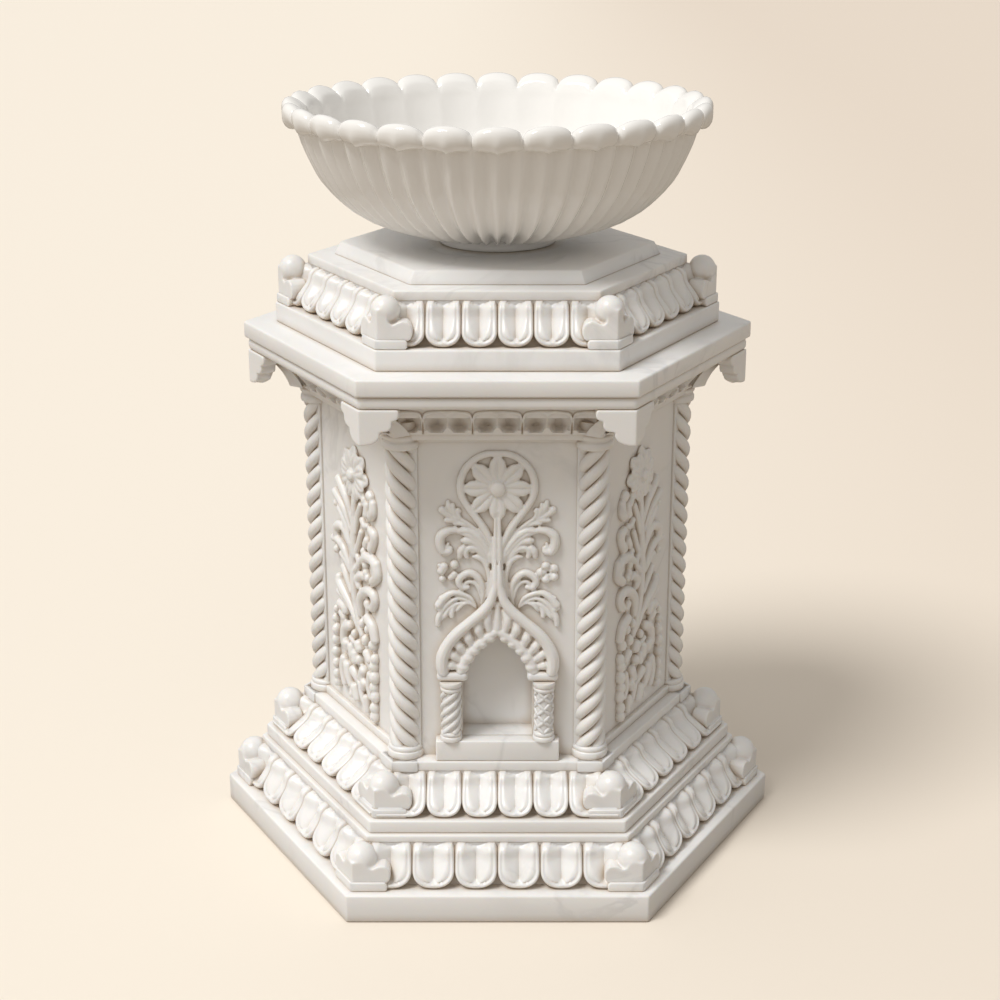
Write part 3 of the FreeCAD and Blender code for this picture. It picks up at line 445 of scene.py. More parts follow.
@dataclass(frozen=True)
class Marble:
    """Polished white marble with faint grey veins, and painted warm shade in its deep carving."""

    name: str
    light: Colour = (0.87, 0.862, 0.85)
    cloud: Colour = (0.80, 0.795, 0.785)
    vein: Colour = (0.62, 0.615, 0.61)
    # painted shade: the warm darker colour that deep carving takes
    painted_shade_colour: Colour = (0.58, 0.475, 0.36)
    painted_shade_reach: float = 13.0
    roughness: float = 0.29
    glow: float = 0.2
    glow_depth: float = 6.0
    unevenness: float = 0.05
    cloud_scale: float = 7.0
    vein_scale: float = 5.5
    patch_scale: float = 9.0
    polish_scale: float = 60.0
    mark_scale: float = 150.0
    mark_depth: float = 0.6

    def material(self) -> bpy.types.Material:
        """Builds the material, or returns the one built before."""
        if self.name in bpy.data.materials:
            return bpy.data.materials[self.name]
        material, tree, shader, place = start_material(self.name)
        colour = self.blend(tree, self.clouds(tree, place), self.light, self.cloud)
        colour = self.blend(tree, self.veins(tree, place), colour, self.vein)
        # painted shade blended into the colour where the carving is deep
        colour = self.blend(tree, self.painted_shade(tree), colour, self.painted_shade_colour)
        tree.links.new(colour, shader.inputs["Base Color"])
        tree.links.new(self.polish(tree, place), shader.inputs["Roughness"])
        tree.links.new(self.tool_marks(tree, place), shader.inputs["Normal"])
        shader.inputs["Subsurface Weight"].default_value = self.glow
        shader.inputs["Subsurface Radius"].default_value = (1.0, 0.75, 0.5)
        shader.inputs["Subsurface Scale"].default_value = self.glow_depth * MM
        shader.inputs["IOR"].default_value = 1.5
        return material

    @staticmethod
    def blend(tree: Tree, share: Socket, first: object, second: object) -> Socket:
        """Mixes two colours, each a socket or three numbers, by a share."""
        mix = tree.nodes.new("ShaderNodeMix")
        mix.data_type = "RGBA"
        tree.links.new(share, mix.inputs["Factor"])
        for key, value in ((6, first), (7, second)):
            if isinstance(value, tuple):
                mix.inputs[key].default_value = (*value, 1.0)
            else:
                tree.links.new(value, mix.inputs[key])
        return mix.outputs[2]

    @staticmethod
    def noise(tree: Tree, place: Socket, scale: float, detail: float, bend: float = 0.0) -> Socket:
        """Noise on the stone's own coordinates; scale is cycles to a metre."""
        noise = tree.nodes.new("ShaderNodeTexNoise")
        noise.inputs["Scale"].default_value = scale
        noise.inputs["Detail"].default_value = detail
        noise.inputs["Distortion"].default_value = bend
        tree.links.new(place, noise.inputs["Vector"])
        return noise.outputs["Fac"]

    @staticmethod
    def ramp(tree: Tree, value: Socket, *stops: tuple[float, float]) -> Socket:
        """Reshapes a value by pairs of place and height."""
        ramp = tree.nodes.new("ShaderNodeValToRGB")
        elements = ramp.color_ramp.elements
        while len(elements) < len(stops):
            elements.new(0.5)
        for element, (position, height) in zip(elements, stops):
            element.position = position
            element.color = (height, height, height, 1.0)
        tree.links.new(value, ramp.inputs["Fac"])
        return ramp.outputs["Color"]

    def clouds(self, tree: Tree, place: Socket) -> Socket:
        """Broad pale grey clouds."""
        return self.ramp(tree, self.noise(tree, place, self.cloud_scale, 5.0, 0.6), (0.42, 0.0), (0.72, 0.75))

    def veins(self, tree: Tree, place: Socket) -> Socket:
        """Thin broken veins where a bent noise crosses its middle value."""
        line = self.ramp(tree, self.noise(tree, place, self.vein_scale, 7.0, 1.4),
                         (0.476, 0.0), (0.499, 0.42), (0.503, 0.42), (0.53, 0.0))
        patch = self.ramp(tree, self.noise(tree, place, self.patch_scale, 3.0), (0.46, 0.0), (0.62, 1.0))
        both = tree.nodes.new("ShaderNodeMath")
        both.operation = "MULTIPLY"
        tree.links.new(line, both.inputs[0])
        tree.links.new(patch, both.inputs[1])
        return both.outputs[0]

    def painted_shade(self, tree: Tree) -> Socket:
        """Painted shade: a warm darker colour laid where ambient occlusion finds deep carving."""
        shade = tree.nodes.new("ShaderNodeAmbientOcclusion")
        shade.samples = 8
        shade.inputs["Distance"].default_value = self.painted_shade_reach * MM
        return self.ramp(tree, shade.outputs["AO"], (0.14, 0.9), (0.86, 0.0))

    def polish(self, tree: Tree, place: Socket) -> Socket:
        """Roughness that varies a little from patch to patch."""
        spread = tree.nodes.new("ShaderNodeMapRange")
        spread.inputs["To Min"].default_value = self.roughness - 0.06
        spread.inputs["To Max"].default_value = self.roughness + 0.12
        tree.links.new(self.noise(tree, place, self.polish_scale, 4.0), spread.inputs["Value"])
        return spread.outputs["Result"]

    def tool_marks(self, tree: Tree, place: Socket) -> Socket:
        """The slight unevenness that hand polishing leaves."""
        bump = tree.nodes.new("ShaderNodeBump")
        bump.inputs["Strength"].default_value = self.unevenness
        bump.inputs["Distance"].default_value = self.mark_depth * MM
        tree.links.new(self.noise(tree, place, self.mark_scale, 3.0), bump.inputs["Height"])
        return bump.outputs["Normal"]


@dataclass(frozen=True)
class Steel:
    """Plain drawn steel rod of the hidden dowels."""

    name: str
    colour: Colour = (0.55, 0.56, 0.57)
    worn: Colour = (0.38, 0.37, 0.36)

    def material(self) -> bpy.types.Material:
        """Builds the material with fine drawing lines along the rod, or returns the one built before."""
        if self.name in bpy.data.materials:
            return bpy.data.materials[self.name]
        material, tree, shader, place = start_material(self.name)
        stretch = tree.nodes.new("ShaderNodeMapping")
        stretch.inputs["Scale"].default_value = (900.0, 900.0, 12.0)
        tree.links.new(place, stretch.inputs["Vector"])
        lines = Marble.noise(tree, stretch.outputs["Vector"], 1.0, 3.0)
        tree.links.new(Marble.blend(tree, lines, self.colour, self.worn), shader.inputs["Base Color"])
        rough = Marble.ramp(tree, lines, (0.3, 0.25), (0.7, 0.45))
        tree.links.new(rough, shader.inputs["Roughness"])
        shader.inputs["Metallic"].default_value = 1.0
        return material


PEDESTAL_MARBLE = Marble("carved_marble")
BOWL_MARBLE = Marble("bowl_marble", light=(0.89, 0.885, 0.875), roughness=0.25)
DOWEL_STEEL = Steel("dowel_steel")


def dress(piece: Piece, name: str, replaces: Sequence[str], body: Body = Body.PEDESTAL,
          finish: Marble = PEDESTAL_MARBLE, crease: float = 35.0) -> Piece:
    """Names, smooths and finishes a piece and ties it to the frame.

    Args:
        piece: the finished mesh object.
        name: its name.
        replaces: CAD nodes it stands for.
        body: the body it rides on.
        finish: the stone it is made of.
        crease: degrees above which an edge stays sharp.

    Returns:
        The dressed piece.
    """
    piece.name = name
    Workshop.focus(piece)
    bpy.ops.object.shade_smooth_by_angle(angle=math.radians(crease))
    piece.data.materials.clear()
    piece.data.materials.append(finish.material())
    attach(piece, body.value)
    if replaces:
        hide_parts(*replaces)
    log.info("%s: %d faces", name, len(piece.data.polygons))
    return piece


@dataclass
class Slabs:
    """Flat hexagonal courses with softly rounded edges."""

    nodes: tuple[tuple[str, float], ...] = (
        ("base_slab", 2.0), ("lower_cap_plate", 1.5), ("middle_slab", 1.8), ("cornice_slab", 2.2),
        ("upper_slab", 1.8), ("upper_cap_plate", 1.6),
    )
    segments: int = 3
    pad_length: float = 26.0
    pad_proud: float = 1.8
    pad_depth: float = 24.0
    nose: float = 4.5
    bowl_plate_top: float = 0.9578
    seat_edge: float = 1.5
    pad_edge: float = 0.8
    bowl_plate_edge: float = 1.4

    def build(self) -> None:
        """Builds each slab in its node's own box."""
        for node, edge in self.nodes:
            dress(self.slab(node, edge), f"{node}_stone", [node])
        dress(self.slab("cornice_moulding", self.nose), "cornice_moulding_stone", ["cornice_moulding"])
        dress(self.seat_plate(), "middle_cap_plate_stone", ["middle_cap_plate"])
        dress(self.bowl_plate(), "top_plate_stone", ["top_plate"])

    def slab(self, node: str, edge: float) -> Piece:
        """Hexagonal block with rounded edges, in millimetres of edge radius."""
        low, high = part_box(node)
        piece = Workshop.settle(Workshop.stock(
            bpy.ops.mesh.primitive_cylinder_add, vertices=SIDES, radius=high.x, depth=high.z - low.z,
            location=(0, 0, (low.z + high.z) / 2), rotation=(0, 0, TURN / 2)))
        if edge:
            Workshop.apply(piece, "BEVEL", width=edge * MM, segments=self.segments)
        return piece

    def seat_plate(self) -> Piece:
        """Plate under the shaft, with slightly proud pads where the columns stand."""
        low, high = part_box("middle_cap_plate")
        plate = self.slab("middle_cap_plate", self.seat_edge)
        radius = high.x / MM + self.pad_proud
        outline = [(0, low.z / MM), (self.pad_length, low.z / MM),
                   (self.pad_length, high.z / MM), (0, high.z / MM)]
        wings = corner_wings(outline, radius, self.pad_depth)
        Workshop.apply(wings, "BEVEL", width=self.pad_edge * MM, segments=2)
        return Workshop.join([plate, Workshop.around(wings, SIDES)])

    def bowl_plate(self) -> Piece:
        """Bevelled plate under the bowl: a hexagon drawn in towards its top."""
        low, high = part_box("top_plate")
        plate = self.slab("top_plate", 0.0)
        for vertex in plate.data.vertices:
            if vertex.co.z > (low.z + high.z) / 2:
                vertex.co.x *= self.bowl_plate_top
                vertex.co.y *= self.bowl_plate_top
        return Workshop.apply(plate, "BEVEL", width=self.bowl_plate_edge * MM, segments=self.segments)


def corner_wings(outline: Outline, radius: float, depth: float) -> Piece:
    """Two slabs that meet on the corner edge at +X, each cut to one front view.

    Args:
        outline: front view, with distances from the corner edge and levels in millimetres.
        radius: how far the corner edge is from the middle.
        depth: thickness of each slab, inwards.

    Returns:
        Both slabs as one mesh.
    """
    wing = Workshop.prism(outline, depth)
    wing.data.transform(Matrix.Rotation(math.pi / 2 + TURN / 2, 4, "Z"))
    Workshop.shift(wing, radius)
    twin = Workshop.copy(wing, Matrix.Scale(-1, 4, Vector((0, 1, 0))))
    return Workshop.join([wing, twin])


def set_corners(stone: Piece, prefix: str, crease: float, corners: Sequence[int] = range(SIDES)) -> None:
    """Dresses copies of a stone made at +X, one for each corner, and drops the first.

    Args:
        stone: the finished stone.
        prefix: start of the names of its nodes.
        crease: degrees above which an edge stays sharp.
        corners: the corners it goes to, counted from +X.
    """
    for corner in corners:
        node = f"{prefix}_{corner + 1}"
        twin = Workshop.copy(stone, Matrix.Rotation(TURN * corner, 4, "Z"))
        dress(twin, f"{node}_stone", [node], crease=crease)
    bpy.data.objects.remove(stone)


@dataclass
class PetalBand:
    """Band of scooped petals along the six faces of one tier."""

    tier: str
    width: float
    shoulder: float
    valley: float = 11.5
    reach: float = 0.84
    groove: float = 5.5
    rim: float = 3.4
    rim_foot: float = 8.8
    roll: float = 10.5
    dip: float = 4.6
    fall_from: float = 0.16
    fall_over: float = 0.66
    heel: float = 0.08
    heel_height: float = 0.12
    point: float = 2.6
    bead: float = 0.9
    valley_foot: float = 0.14
    valley_growth: float = 0.5
    border_depth: float = 13.0
    bend: float = 0.44
    tuck: float = 0.6
    behind_plate: float = 0.5
    curve_length: float = 1.16
    columns: int = 36
    rows: int = 36

    def build(self) -> None:
        """Builds six petals a face, the end ones behind the corner stones."""
        node = f"{self.tier}_petal_course"
        low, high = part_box(node)
        self.foot, self.head = low.z / MM, high.z / MM + self.tuck
        self.lip = high.y / MM
        self.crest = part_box(f"{self.tier}_cap_plate")[1].y / MM - self.behind_plate
        self.length = (self.head - self.foot) * self.curve_length
        petal, last = self.petal(self.place), self.petal(self.open_place)
        first = Workshop.copy(last, Matrix.Scale(-1, 4, Vector((1, 0, 0))))
        face = Workshop.in_row((first, petal, petal, petal, petal, last), self.width)
        for shape in (first, petal, last):
            bpy.data.objects.remove(shape)
        band = Workshop.join([*self.core(), Workshop.around(face, SIDES)])
        dress(band, f"{node}_stone", [node], crease=60.0)

    def profile(self, rise: float) -> tuple[float, float]:
        """Distance from the middle and level of the petals' outer line, at a share of the height."""
        fall = clamp((rise - self.fall_from) / self.fall_over)
        share = self.shoulder + (1 - self.shoulder) * (0.5 + 0.5 * math.cos(math.pi * fall))
        share -= self.heel * clamp(1 - rise / self.heel_height)**2
        return self.crest + (self.lip - self.crest) * share, self.foot + (self.head - self.foot) * rise

    def risen(self, climb: float) -> float:
        """Distance from the foot at a share of the sheet's rows, which lie closer round the foot."""
        half = self.width / 2
        if climb < self.bend:
            return half * (1 - math.cos(math.pi / 2 * climb / self.bend))
        return half + (self.length - half) * (climb - self.bend) / (1 - self.bend)

    def place(self, u: float, v: float) -> Vector:
        """Point of one petal: u runs across it and v from its foot to its crest."""
        half = self.width / 2
        up = self.risen((v + 1) / 2)
        reach = math.sqrt(max(half**2 - max(half - up, 0.0)**2, 0.0))
        across = (0.5 * math.sin(math.pi / 2 * u) + 0.5 * u) * reach
        if up < half:
            edge = half - math.hypot(across, half - up)
        else:
            edge = half - abs(across)
        out, level = self.profile(up / self.length)
        front = self.rolled(out - self.inward(across, up, edge), across, up)
        return Vector((across, -front, level))

    def open_place(self, u: float, v: float) -> Vector:
        """The same for an end petal, whose rim runs on towards the corner stone."""
        if u <= 0:
            return self.place(u, v)
        up = self.risen((v + 1) / 2)
        out, level = self.profile(up / self.length)
        across = u * (out * math.tan(TURN / 2) - 2.5 * self.width - 4.5)
        front = self.rolled(out - self.inward(across, up, up), across, up)
        return Vector((across, -front, level))

    def rolled(self, front: float, across: float, up: float) -> float:
        """Rounds the petal's two ears back to the face of the plate above."""
        side = min(abs(across) / (self.width / 2), 1.0)
        middle = max(0.0, 1 - (side / 0.6)**2)
        border = max(0.0, (side - 0.76) / 0.24)**2
        end = self.length - self.dip * middle - 1.3 * self.dip * border
        past = clamp((up - (end - self.roll)) / self.roll)
        if past >= 1.0:
            return self.crest - 0.4
        return self.crest + (front - self.crest) * math.sqrt(1 - past**2.2)

    def inward(self, across: float, up: float, edge: float) -> float:
        """How far the carving lies behind the petals' outer line.

        Args:
            across: distance from the petal's middle.
            up: distance from its foot.
            edge: distance from its outline.

        Returns:
            Depth in millimetres.
        """
        half = self.width / 2
        low = max(0.0, 1 - up / half)
        climb = min(up / self.length, 1.0)
        rim = self.rim + (self.rim_foot - self.rim) * low**1.5
        rim += self.point * low * hump(across, 0.0, self.point)
        rounding = min(max(edge, 0.0) / (3.2 + 3.0 * climb), 1.0)
        depth = self.groove * (1 - math.sqrt(1 - (1 - rounding)**2))
        depth += self.bead * hump(edge, rim, 0.8) * (1 - climb**2)
        inner = edge - rim
        if inner > -1.0:
            step = min((inner + 1.0) / 2.0, 1.0)
            depth += (1.0 + 1.6 * low) * step * step * (3 - 2 * step) * (1 - 0.4 * climb)
        if inner > 0:
            side = min(abs(across) / max(half - self.rim, 0.1), 1.0)
            depth += self.bead * hump(inner, 1.3, 1.1)
            reach = self.reach * math.sqrt(clamp((climb - self.valley_foot) / self.valley_growth))
            if side < reach:
                ramp = min(inner / 3.0, 1.0)
                depth += self.valley * reach**0.6 * (1 - side / reach)**1.25 * ramp * (1 - 0.2 * climb)
        return depth

    def petal(self, place: Callable[[float, float], Vector]) -> Piece:
        """One petal with its border drawn back into the core."""
        piece = Workshop.sheet(self.columns, self.rows, place)
        with Workshop.editing(piece):
            bpy.ops.mesh.remove_doubles(threshold=0.02 * MM)
            bpy.ops.mesh.select_all(action="SELECT")
        return Workshop.close_back(piece, self.border_depth)

    def core(self) -> list[Piece]:
        """Plain body of the band: a sloped foot under a straight neck flush with the plate."""
        waist = self.foot + (self.head - self.foot) * 0.55
        stages = ((self.foot, waist, self.lip - 12.0, self.crest + 1.0),
                  (waist - 4.0, self.head - self.tuck, self.crest - 0.2, self.crest - 0.2))
        return [hexagon_ring(*stage) for stage in stages]


def hexagon_ring(low: float, top: float, under: float, over: float) -> Piece:
    """Hexagonal block between two levels.

    Args:
        low: level of its foot in millimetres.
        top: level of its head.
        under: distance of its faces from the middle, at the foot.
        over: the same at the head.

    Returns:
        The closed block.
    """
    share = math.cos(TURN / 2) / MM
    return Workshop.settle(Workshop.stock(
        bpy.ops.mesh.primitive_cone_add, vertices=SIDES, radius1=under / share, radius2=over / share,
        depth=(top - low) * MM, location=(0, 0, (top + low) / 2 * MM), rotation=(0, 0, TURN / 2)))


@dataclass
class CornerBlocks:
    """Six domed corner stones of one tier: plinth, two lobed wings and a dome."""

    tier: str
    wing: float
    plinth: float
    inset: float
    plinth_length: float
    dome: float
    rise: float
    lip: float
    wing_depth: float = 18.0
    grain: float = 1.0
    soften: int = 7
    lobes: Outline = (
        (3.4, -1.5), (1.0, 1.0), (-0.4, 4.6), (-0.4, 9.0), (1.2, 13.4), (4.6, 16.8), (9.0, 17.6),
        (13.0, 16.6), (16.6, 14.4), (19.2, 14.2), (21.6, 15.8),
    )

    def build(self) -> None:
        """Builds one corner stone and copies it to the other corners."""
        node = f"{self.tier}_corner_block"
        low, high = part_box(f"{node}_1")
        self.radius = high.x / MM - self.lip
        self.foot = low.z / MM
        set_corners(Workshop.join([self.head_stone(), self.plinth_stone()]), node, crease=55.0)

    def head_stone(self) -> Piece:
        """Dome and wings melted into one soft stone."""
        low = self.foot + self.plinth
        end = self.wing
        brow = self.rise - self.plinth + 3.0
        lobes = [(end - back, low + up) for back, up in self.lobes]
        outline = [(0.0, lobes[0][1]), *lobes, (end - 24.4, low + brow - 1.4),
                   (end - 27.4, low + brow + 0.8), (0.0, low + brow)]
        wings = corner_wings(outline, self.radius, self.wing_depth)
        place = Vector((self.radius - self.inset, 0, self.foot + self.rise))
        top = Workshop.ball(self.dome + 0.5, place)
        neck = Workshop.lathe([(0, low), (self.dome - 2.5, low), (self.dome - 3.5, low + 4.0),
                               (self.dome - 4.0, place.z), (0, place.z)], 36)
        Workshop.shift(neck, place.x)
        return Workshop.fuse(Workshop.join([wings, top, neck]), self.grain, self.soften)

    def plinth_stone(self) -> Piece:
        """Low step that carries the corner and meets the rim of the end petals."""
        low, top = self.foot, self.foot + self.plinth
        length = self.plinth_length
        outline = [(0.0, low), (length - 2.0, low), (length, low + 2.0), (length, low + 6.6),
                   (length - 2.0, top), (0.0, top)]
        wings = corner_wings(outline, self.radius + self.lip, self.wing_depth + 2.0)
        return Workshop.apply(wings, "BEVEL", width=1.5 * MM, segments=3, angle_limit=math.radians(60))


def build_corner_stones() -> None:
    """Builds the corner stones of all three tiers."""
    CornerBlocks("lower", wing=38.0, plinth=10.2, inset=18.6, plinth_length=36.0, dome=15.8, rise=28.5,
                 lip=2.2).build()
    CornerBlocks("middle", wing=37.0, plinth=9.6, inset=17.6, plinth_length=34.5, dome=14.9, rise=27.5,
                 lip=3.0).build()
    CornerBlocks("upper", wing=33.0, plinth=9.2, inset=15.6, plinth_length=29.5, dome=13.4, rise=34.5,
                 lip=2.2).build()


@dataclass
class RopeColumns:
    """Six columns of four twisted strands between a base and a capital."""

    strands: int = 4
    lead: float = 75.0
    strand_out: float = 8.3
    strand_deep: float = 8.2
    strand_tall: float = 9.6
    steps: int = 26
    base_height: float = 13.0
    capital_height: float = 29.0
    lathe_steps: int = 56
    base: Outline = (
        (18.2, 0), (18.8, 0.8), (18.8, 6.2), (18.3, 7.4), (17.2, 7.9), (17.4, 8.6), (17.9, 9.8),
        (17.6, 11.6), (16.6, 12.8), (15.0, 13.3),
    )
    capital: Outline = (
        (14.8, -0.5), (16.6, 0), (18.4, 1.2), (18.8, 3.2), (18.7, 5.8), (17.8, 7.6), (16.9, 8.2),
        (16.9, 9.4), (18.0, 10.2), (19.0, 11.6), (19.2, 13.6), (18.6, 15.4), (17.6, 16.2), (17.6, 17.4),
        (18.4, 19.5), (19.3, 22.5), (19.5, 25.5), (19.5, 29.0),
    )

    def build(self) -> None:
        """Builds both twists and sets them alternately at the corners."""
        low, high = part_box("column_1")
        self.foot, self.head = low.z / MM, high.z / MM
        place = (low.x + high.x) / 2 / MM
        for hand in (1, -1):
            base = self.turned(self.base, self.foot)
            capital = self.turned(self.capital, self.head - self.capital_height)
            column = Workshop.join([self.rope(hand), base, capital])
            Workshop.shift(column, place)
            set_corners(column, "column", 60.0, range(0 if hand > 0 else 1, SIDES, 2))

    def rope(self, hand: int) -> Piece:
        """Twisted strands, cut level at both ends; hand is 1 for a left-handed twist."""
        low = self.foot + self.base_height
        top = self.head - self.capital_height
        turns = (top - low) / self.lead + 0.6
        strand = Workshop.stock(bpy.ops.mesh.primitive_circle_add, vertices=18, radius=MM,
                                rotation=(math.pi / 2, 0, 0))
        strand.scale = (self.strand_deep, self.strand_tall, 1.0)
        Workshop.settle(strand)
        Workshop.shift(strand, self.strand_out, 0, low - 0.3 * self.lead)
        steps = int(self.steps * turns)
        Workshop.apply(strand, "SCREW", axis="Z", angle=-hand * math.tau * turns, steps=steps,
                       render_steps=steps, screw_offset=self.lead * turns * MM, use_smooth_shade=True)
        rope = Workshop.around(strand, self.strands)
        for level, clear in ((low - 2.0, "clear_inner"), (top + 2.0, "clear_outer")):
            with Workshop.editing(rope):
                bpy.ops.mesh.bisect(plane_co=(0, 0, level * MM), plane_no=(0, 0, 1),
                                    use_fill=True, **{clear: True})
        return Workshop.mend(rope)

    def turned(self, rings: Outline, low: float) -> Piece:
        """Turned stone above a level: the disc under the rope or the capital over it."""
        levels = [(radius, low + up) for radius, up in rings]
        return Workshop.lathe([(0, levels[0][1]), *levels, (0, levels[-1][1])], self.lathe_steps)


@dataclass
class Brackets:
    """Lobed brackets that hang under the cornice corners."""

    depth: float = 17.0
    grain: float = 1.0
    soften: int = 9
    lobes: Outline = (
        (0.0, 0.4), (36.4, 0.4), (37.6, -1.0), (38.0, -3.4), (37.8, -6.2), (36.6, -8.8), (34.2, -10.2),
        (31.2, -10.6), (30.4, -11.2), (31.0, -12.6), (31.0, -15.6), (30.0, -18.2), (28.0, -20.2),
        (25.2, -21.0), (20.6, -21.2), (19.6, -21.8), (20.0, -23.4), (19.6, -26.2), (17.8, -29.2),
        (14.8, -31.6), (11.0, -33.4), (6.4, -34.2), (0.0, -34.2),
    )

    def build(self) -> None:
        """Builds one bracket and copies it to the other corners."""
        _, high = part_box("bracket_1")
        outline = [(x, high.z / MM + z) for x, z in self.lobes]
        stone = Workshop.fuse(corner_wings(outline, high.x / MM + 0.4, self.depth), self.grain, self.soften)
        set_corners(stone, "bracket", crease=55.0)


RING: tuple[Stroke, ...] = (
    ((0, 460, 3), (-11, 459, 3.5), (-23, 453, 3.5), (-32, 442, 4), (-36, 428, 4), (-34, 416, 4),
     (-28, 405, 4), (-20, 394, 4), (-12, 382, 4), (-6, 369, 3.5), (-3, 357, 3), (-2, 347, 3)),
)
STEM: tuple[Stroke, ...] = (
    ((0, 410, 3), (0, 398, 3), (0, 386, 3), (0, 374, 2.5), (0, 364, 2)),
    ((0, 402, 4),),
    ((-7, 363, 2), (-7, 356, 3), (-7, 349, 2)),
    ((7, 363, 2), (7, 356, 3), (7, 349, 2)),
)
TOP_LEAF: tuple[Stroke, ...] = (
    ((-38, 395, 1.5), (-28, 388, 2), (-17, 379, 1.5), (-9, 367, 1.5), (-4, 355, 1)),
    ((-54, 403, 3.5), (-50, 399, 3), (-44, 395, 2), (-38, 394, 1.5)),
    ((-48, 411, 2), (-47, 406, 3), (-44, 400, 2), (-40, 395, 1)),
    ((-43, 408, 2), (-43, 403, 2.5), (-40, 396, 1.5), (-35, 393, 1)),
    ((-36, 401, 1.5), (-38, 403, 2), (-38, 398, 2), (-34, 392, 1.5), (-28, 388, 1)),
    ((-50, 392, 2.5), (-45, 392, 2.5), (-39, 391, 1.5), (-32, 388, 1)),
    ((-42, 389, 2), (-34, 388, 2), (-26, 385, 1.5), (-17, 377, 1), (-10, 366, 1)),
)
SCROLL: tuple[Stroke, ...] = (
    ((-46, 363, 2.5), (-47, 360, 3.5), (-53, 360, 4), (-56, 368, 4.5), (-55, 376, 4.5), (-48, 381, 4),
     (-40, 382, 3)),
    ((-48, 368, 1.5), (-49, 363, 2), (-46, 361, 1.5)),
    ((-38, 381, 3), (-29, 381, 3), (-20, 376, 3.5), (-12, 366, 3), (-6, 355, 2), (-3, 345, 1)),
    ((-36, 379, 2), (-28, 377, 3), (-20, 371, 3), (-12, 361, 2.5), (-7, 350, 1.5)),
    ((-34, 371, 2.5), (-31, 371, 3.5), (-23, 369, 3), (-16, 361, 2.5), (-9, 350, 1.5)),
    ((-37, 354, 2.5), (-36, 360, 3.5), (-33, 364, 3)),
    ((-30, 354, 2.5), (-31, 359, 3), (-28, 363, 3), (-22, 363, 3), (-16, 358, 2.5), (-11, 348, 1.5)),
    ((-25, 360, 2), (-20, 361, 2.5), (-15, 356, 2)),
)
LOW_CURL: tuple[Stroke, ...] = (
    ((-24, 354, 1.5), (-20, 354, 2.5), (-15, 352, 2.5), (-10, 345, 2.5)),
    ((-20, 354, 2.5), (-14, 350, 2.5), (-10, 342, 2.5), (-8, 332, 2.5), (-9, 321, 2), (-12, 310, 1.5),
     (-16, 302, 1)),
    ((-22, 355, 1), (-16, 352, 1.5), (-11, 344, 1.5), (-8, 336, 1.5), (-6, 325, 1)),
)
CURL: tuple[Stroke, ...] = (
    ((-29, 322, 2.5), (-35, 322, 3), (-38, 329, 3.5), (-33, 335, 3.5), (-26, 337, 3.5),
     (-19, 332, 3.5), (-15, 324, 3), (-14, 314, 2), (-16, 304, 1)),
    ((-30, 321, 1.5), (-32, 325, 2), (-28, 328, 2), (-22, 326, 2), (-18, 319, 2), (-16, 309, 1)),
)
ACANTHUS: tuple[Stroke, ...] = (
    ((-21, 302, 1), (-26, 310, 2), (-35, 315, 2.5), (-44, 316, 3), (-52, 311, 3.5), (-58, 303, 4)),
    ((-47, 316, 1.5), (-43, 317, 2), (-38, 315, 1.5)),
    ((-56, 310, 2.5), (-52, 312, 2.5)),
    ((-60, 300, 2), (-57, 299, 3)),
    ((-21, 301, 1), (-30, 308, 1.5), (-39, 310, 2), (-47, 306, 2.5), (-54, 298, 2.5), (-58, 290, 3),
     (-59, 282, 2.5)),
    ((-32, 306, 1), (-40, 304, 2), (-47, 300, 2), (-52, 292, 2.5), (-55, 288, 1.5)),
    ((-37, 304, 1), (-43, 301, 2), (-45, 295, 2.5), (-45, 291, 2.5)),
    ((-21, 300, 1), (-28, 305, 1.5), (-34, 304, 2), (-38, 300, 2), (-40, 297, 1.5)),
)
BEADS: tuple[Stroke, ...] = (
    ((-55, 339, 4), (-52, 344, 4)),
    ((-42, 346, 4.5),),
    ((-46, 332, 3), (-42, 336, 3)),
    ((-54, 331, 3.5),),
    ((-57, 345, 2),),
)
CROSS: tuple[Stroke, ...] = (
    ((-2, 394, 1.5), (-2, 380, 2), (-2, 366, 3), (-2, 352, 3.5), (-2, 341, 4), (-3, 331, 4),
     (-5, 320, 3.5), (-8, 312, 2)),
)
SIDE_STEM: tuple[Stroke, ...] = (
    ((1, 389, 3.5), (-1, 364, 4), (-3, 336, 4.5), (-6, 305, 5)),
    ((-5, 307, 5), (-3, 278, 4.5), (4, 256, 4), (12, 240, 4)),
)
SIDE_FAN: tuple[Stroke, ...] = (
    ((-34, 397, 4.5), (-24, 388, 4.5), (-13, 377, 4), (-4, 355, 2)),
    ((-44, 380, 4), (-32, 374, 4), (-20, 365, 3.5), (-8, 348, 2)),
    ((-40, 369, 4),),
    ((-33, 365, 4), (-23, 357, 4), (-14, 343, 3), (-7, 327, 2)),
    ((-44, 333, 4), (-42, 342, 4.5), (-26, 347, 4.5), (-14, 338, 4), (-6, 320, 2.5)),
    ((-50, 327, 4), (-38, 328, 4), (-25, 322, 4), (-12, 309, 2.5)),
    ((-42, 317, 4.5),),
    ((-30, 316, 4), (-20, 312, 4), (-12, 303, 3)),
    ((-28, 302, 4), (-19, 293, 4), (-10, 280, 3)),
    ((-40, 287, 4), (-38, 281, 5), (-26, 273, 5), (-11, 262, 4), (3, 248, 3.5), (13, 240, 3)),
    ((-40, 271, 4), (-28, 267, 4), (-13, 260, 3)),
)
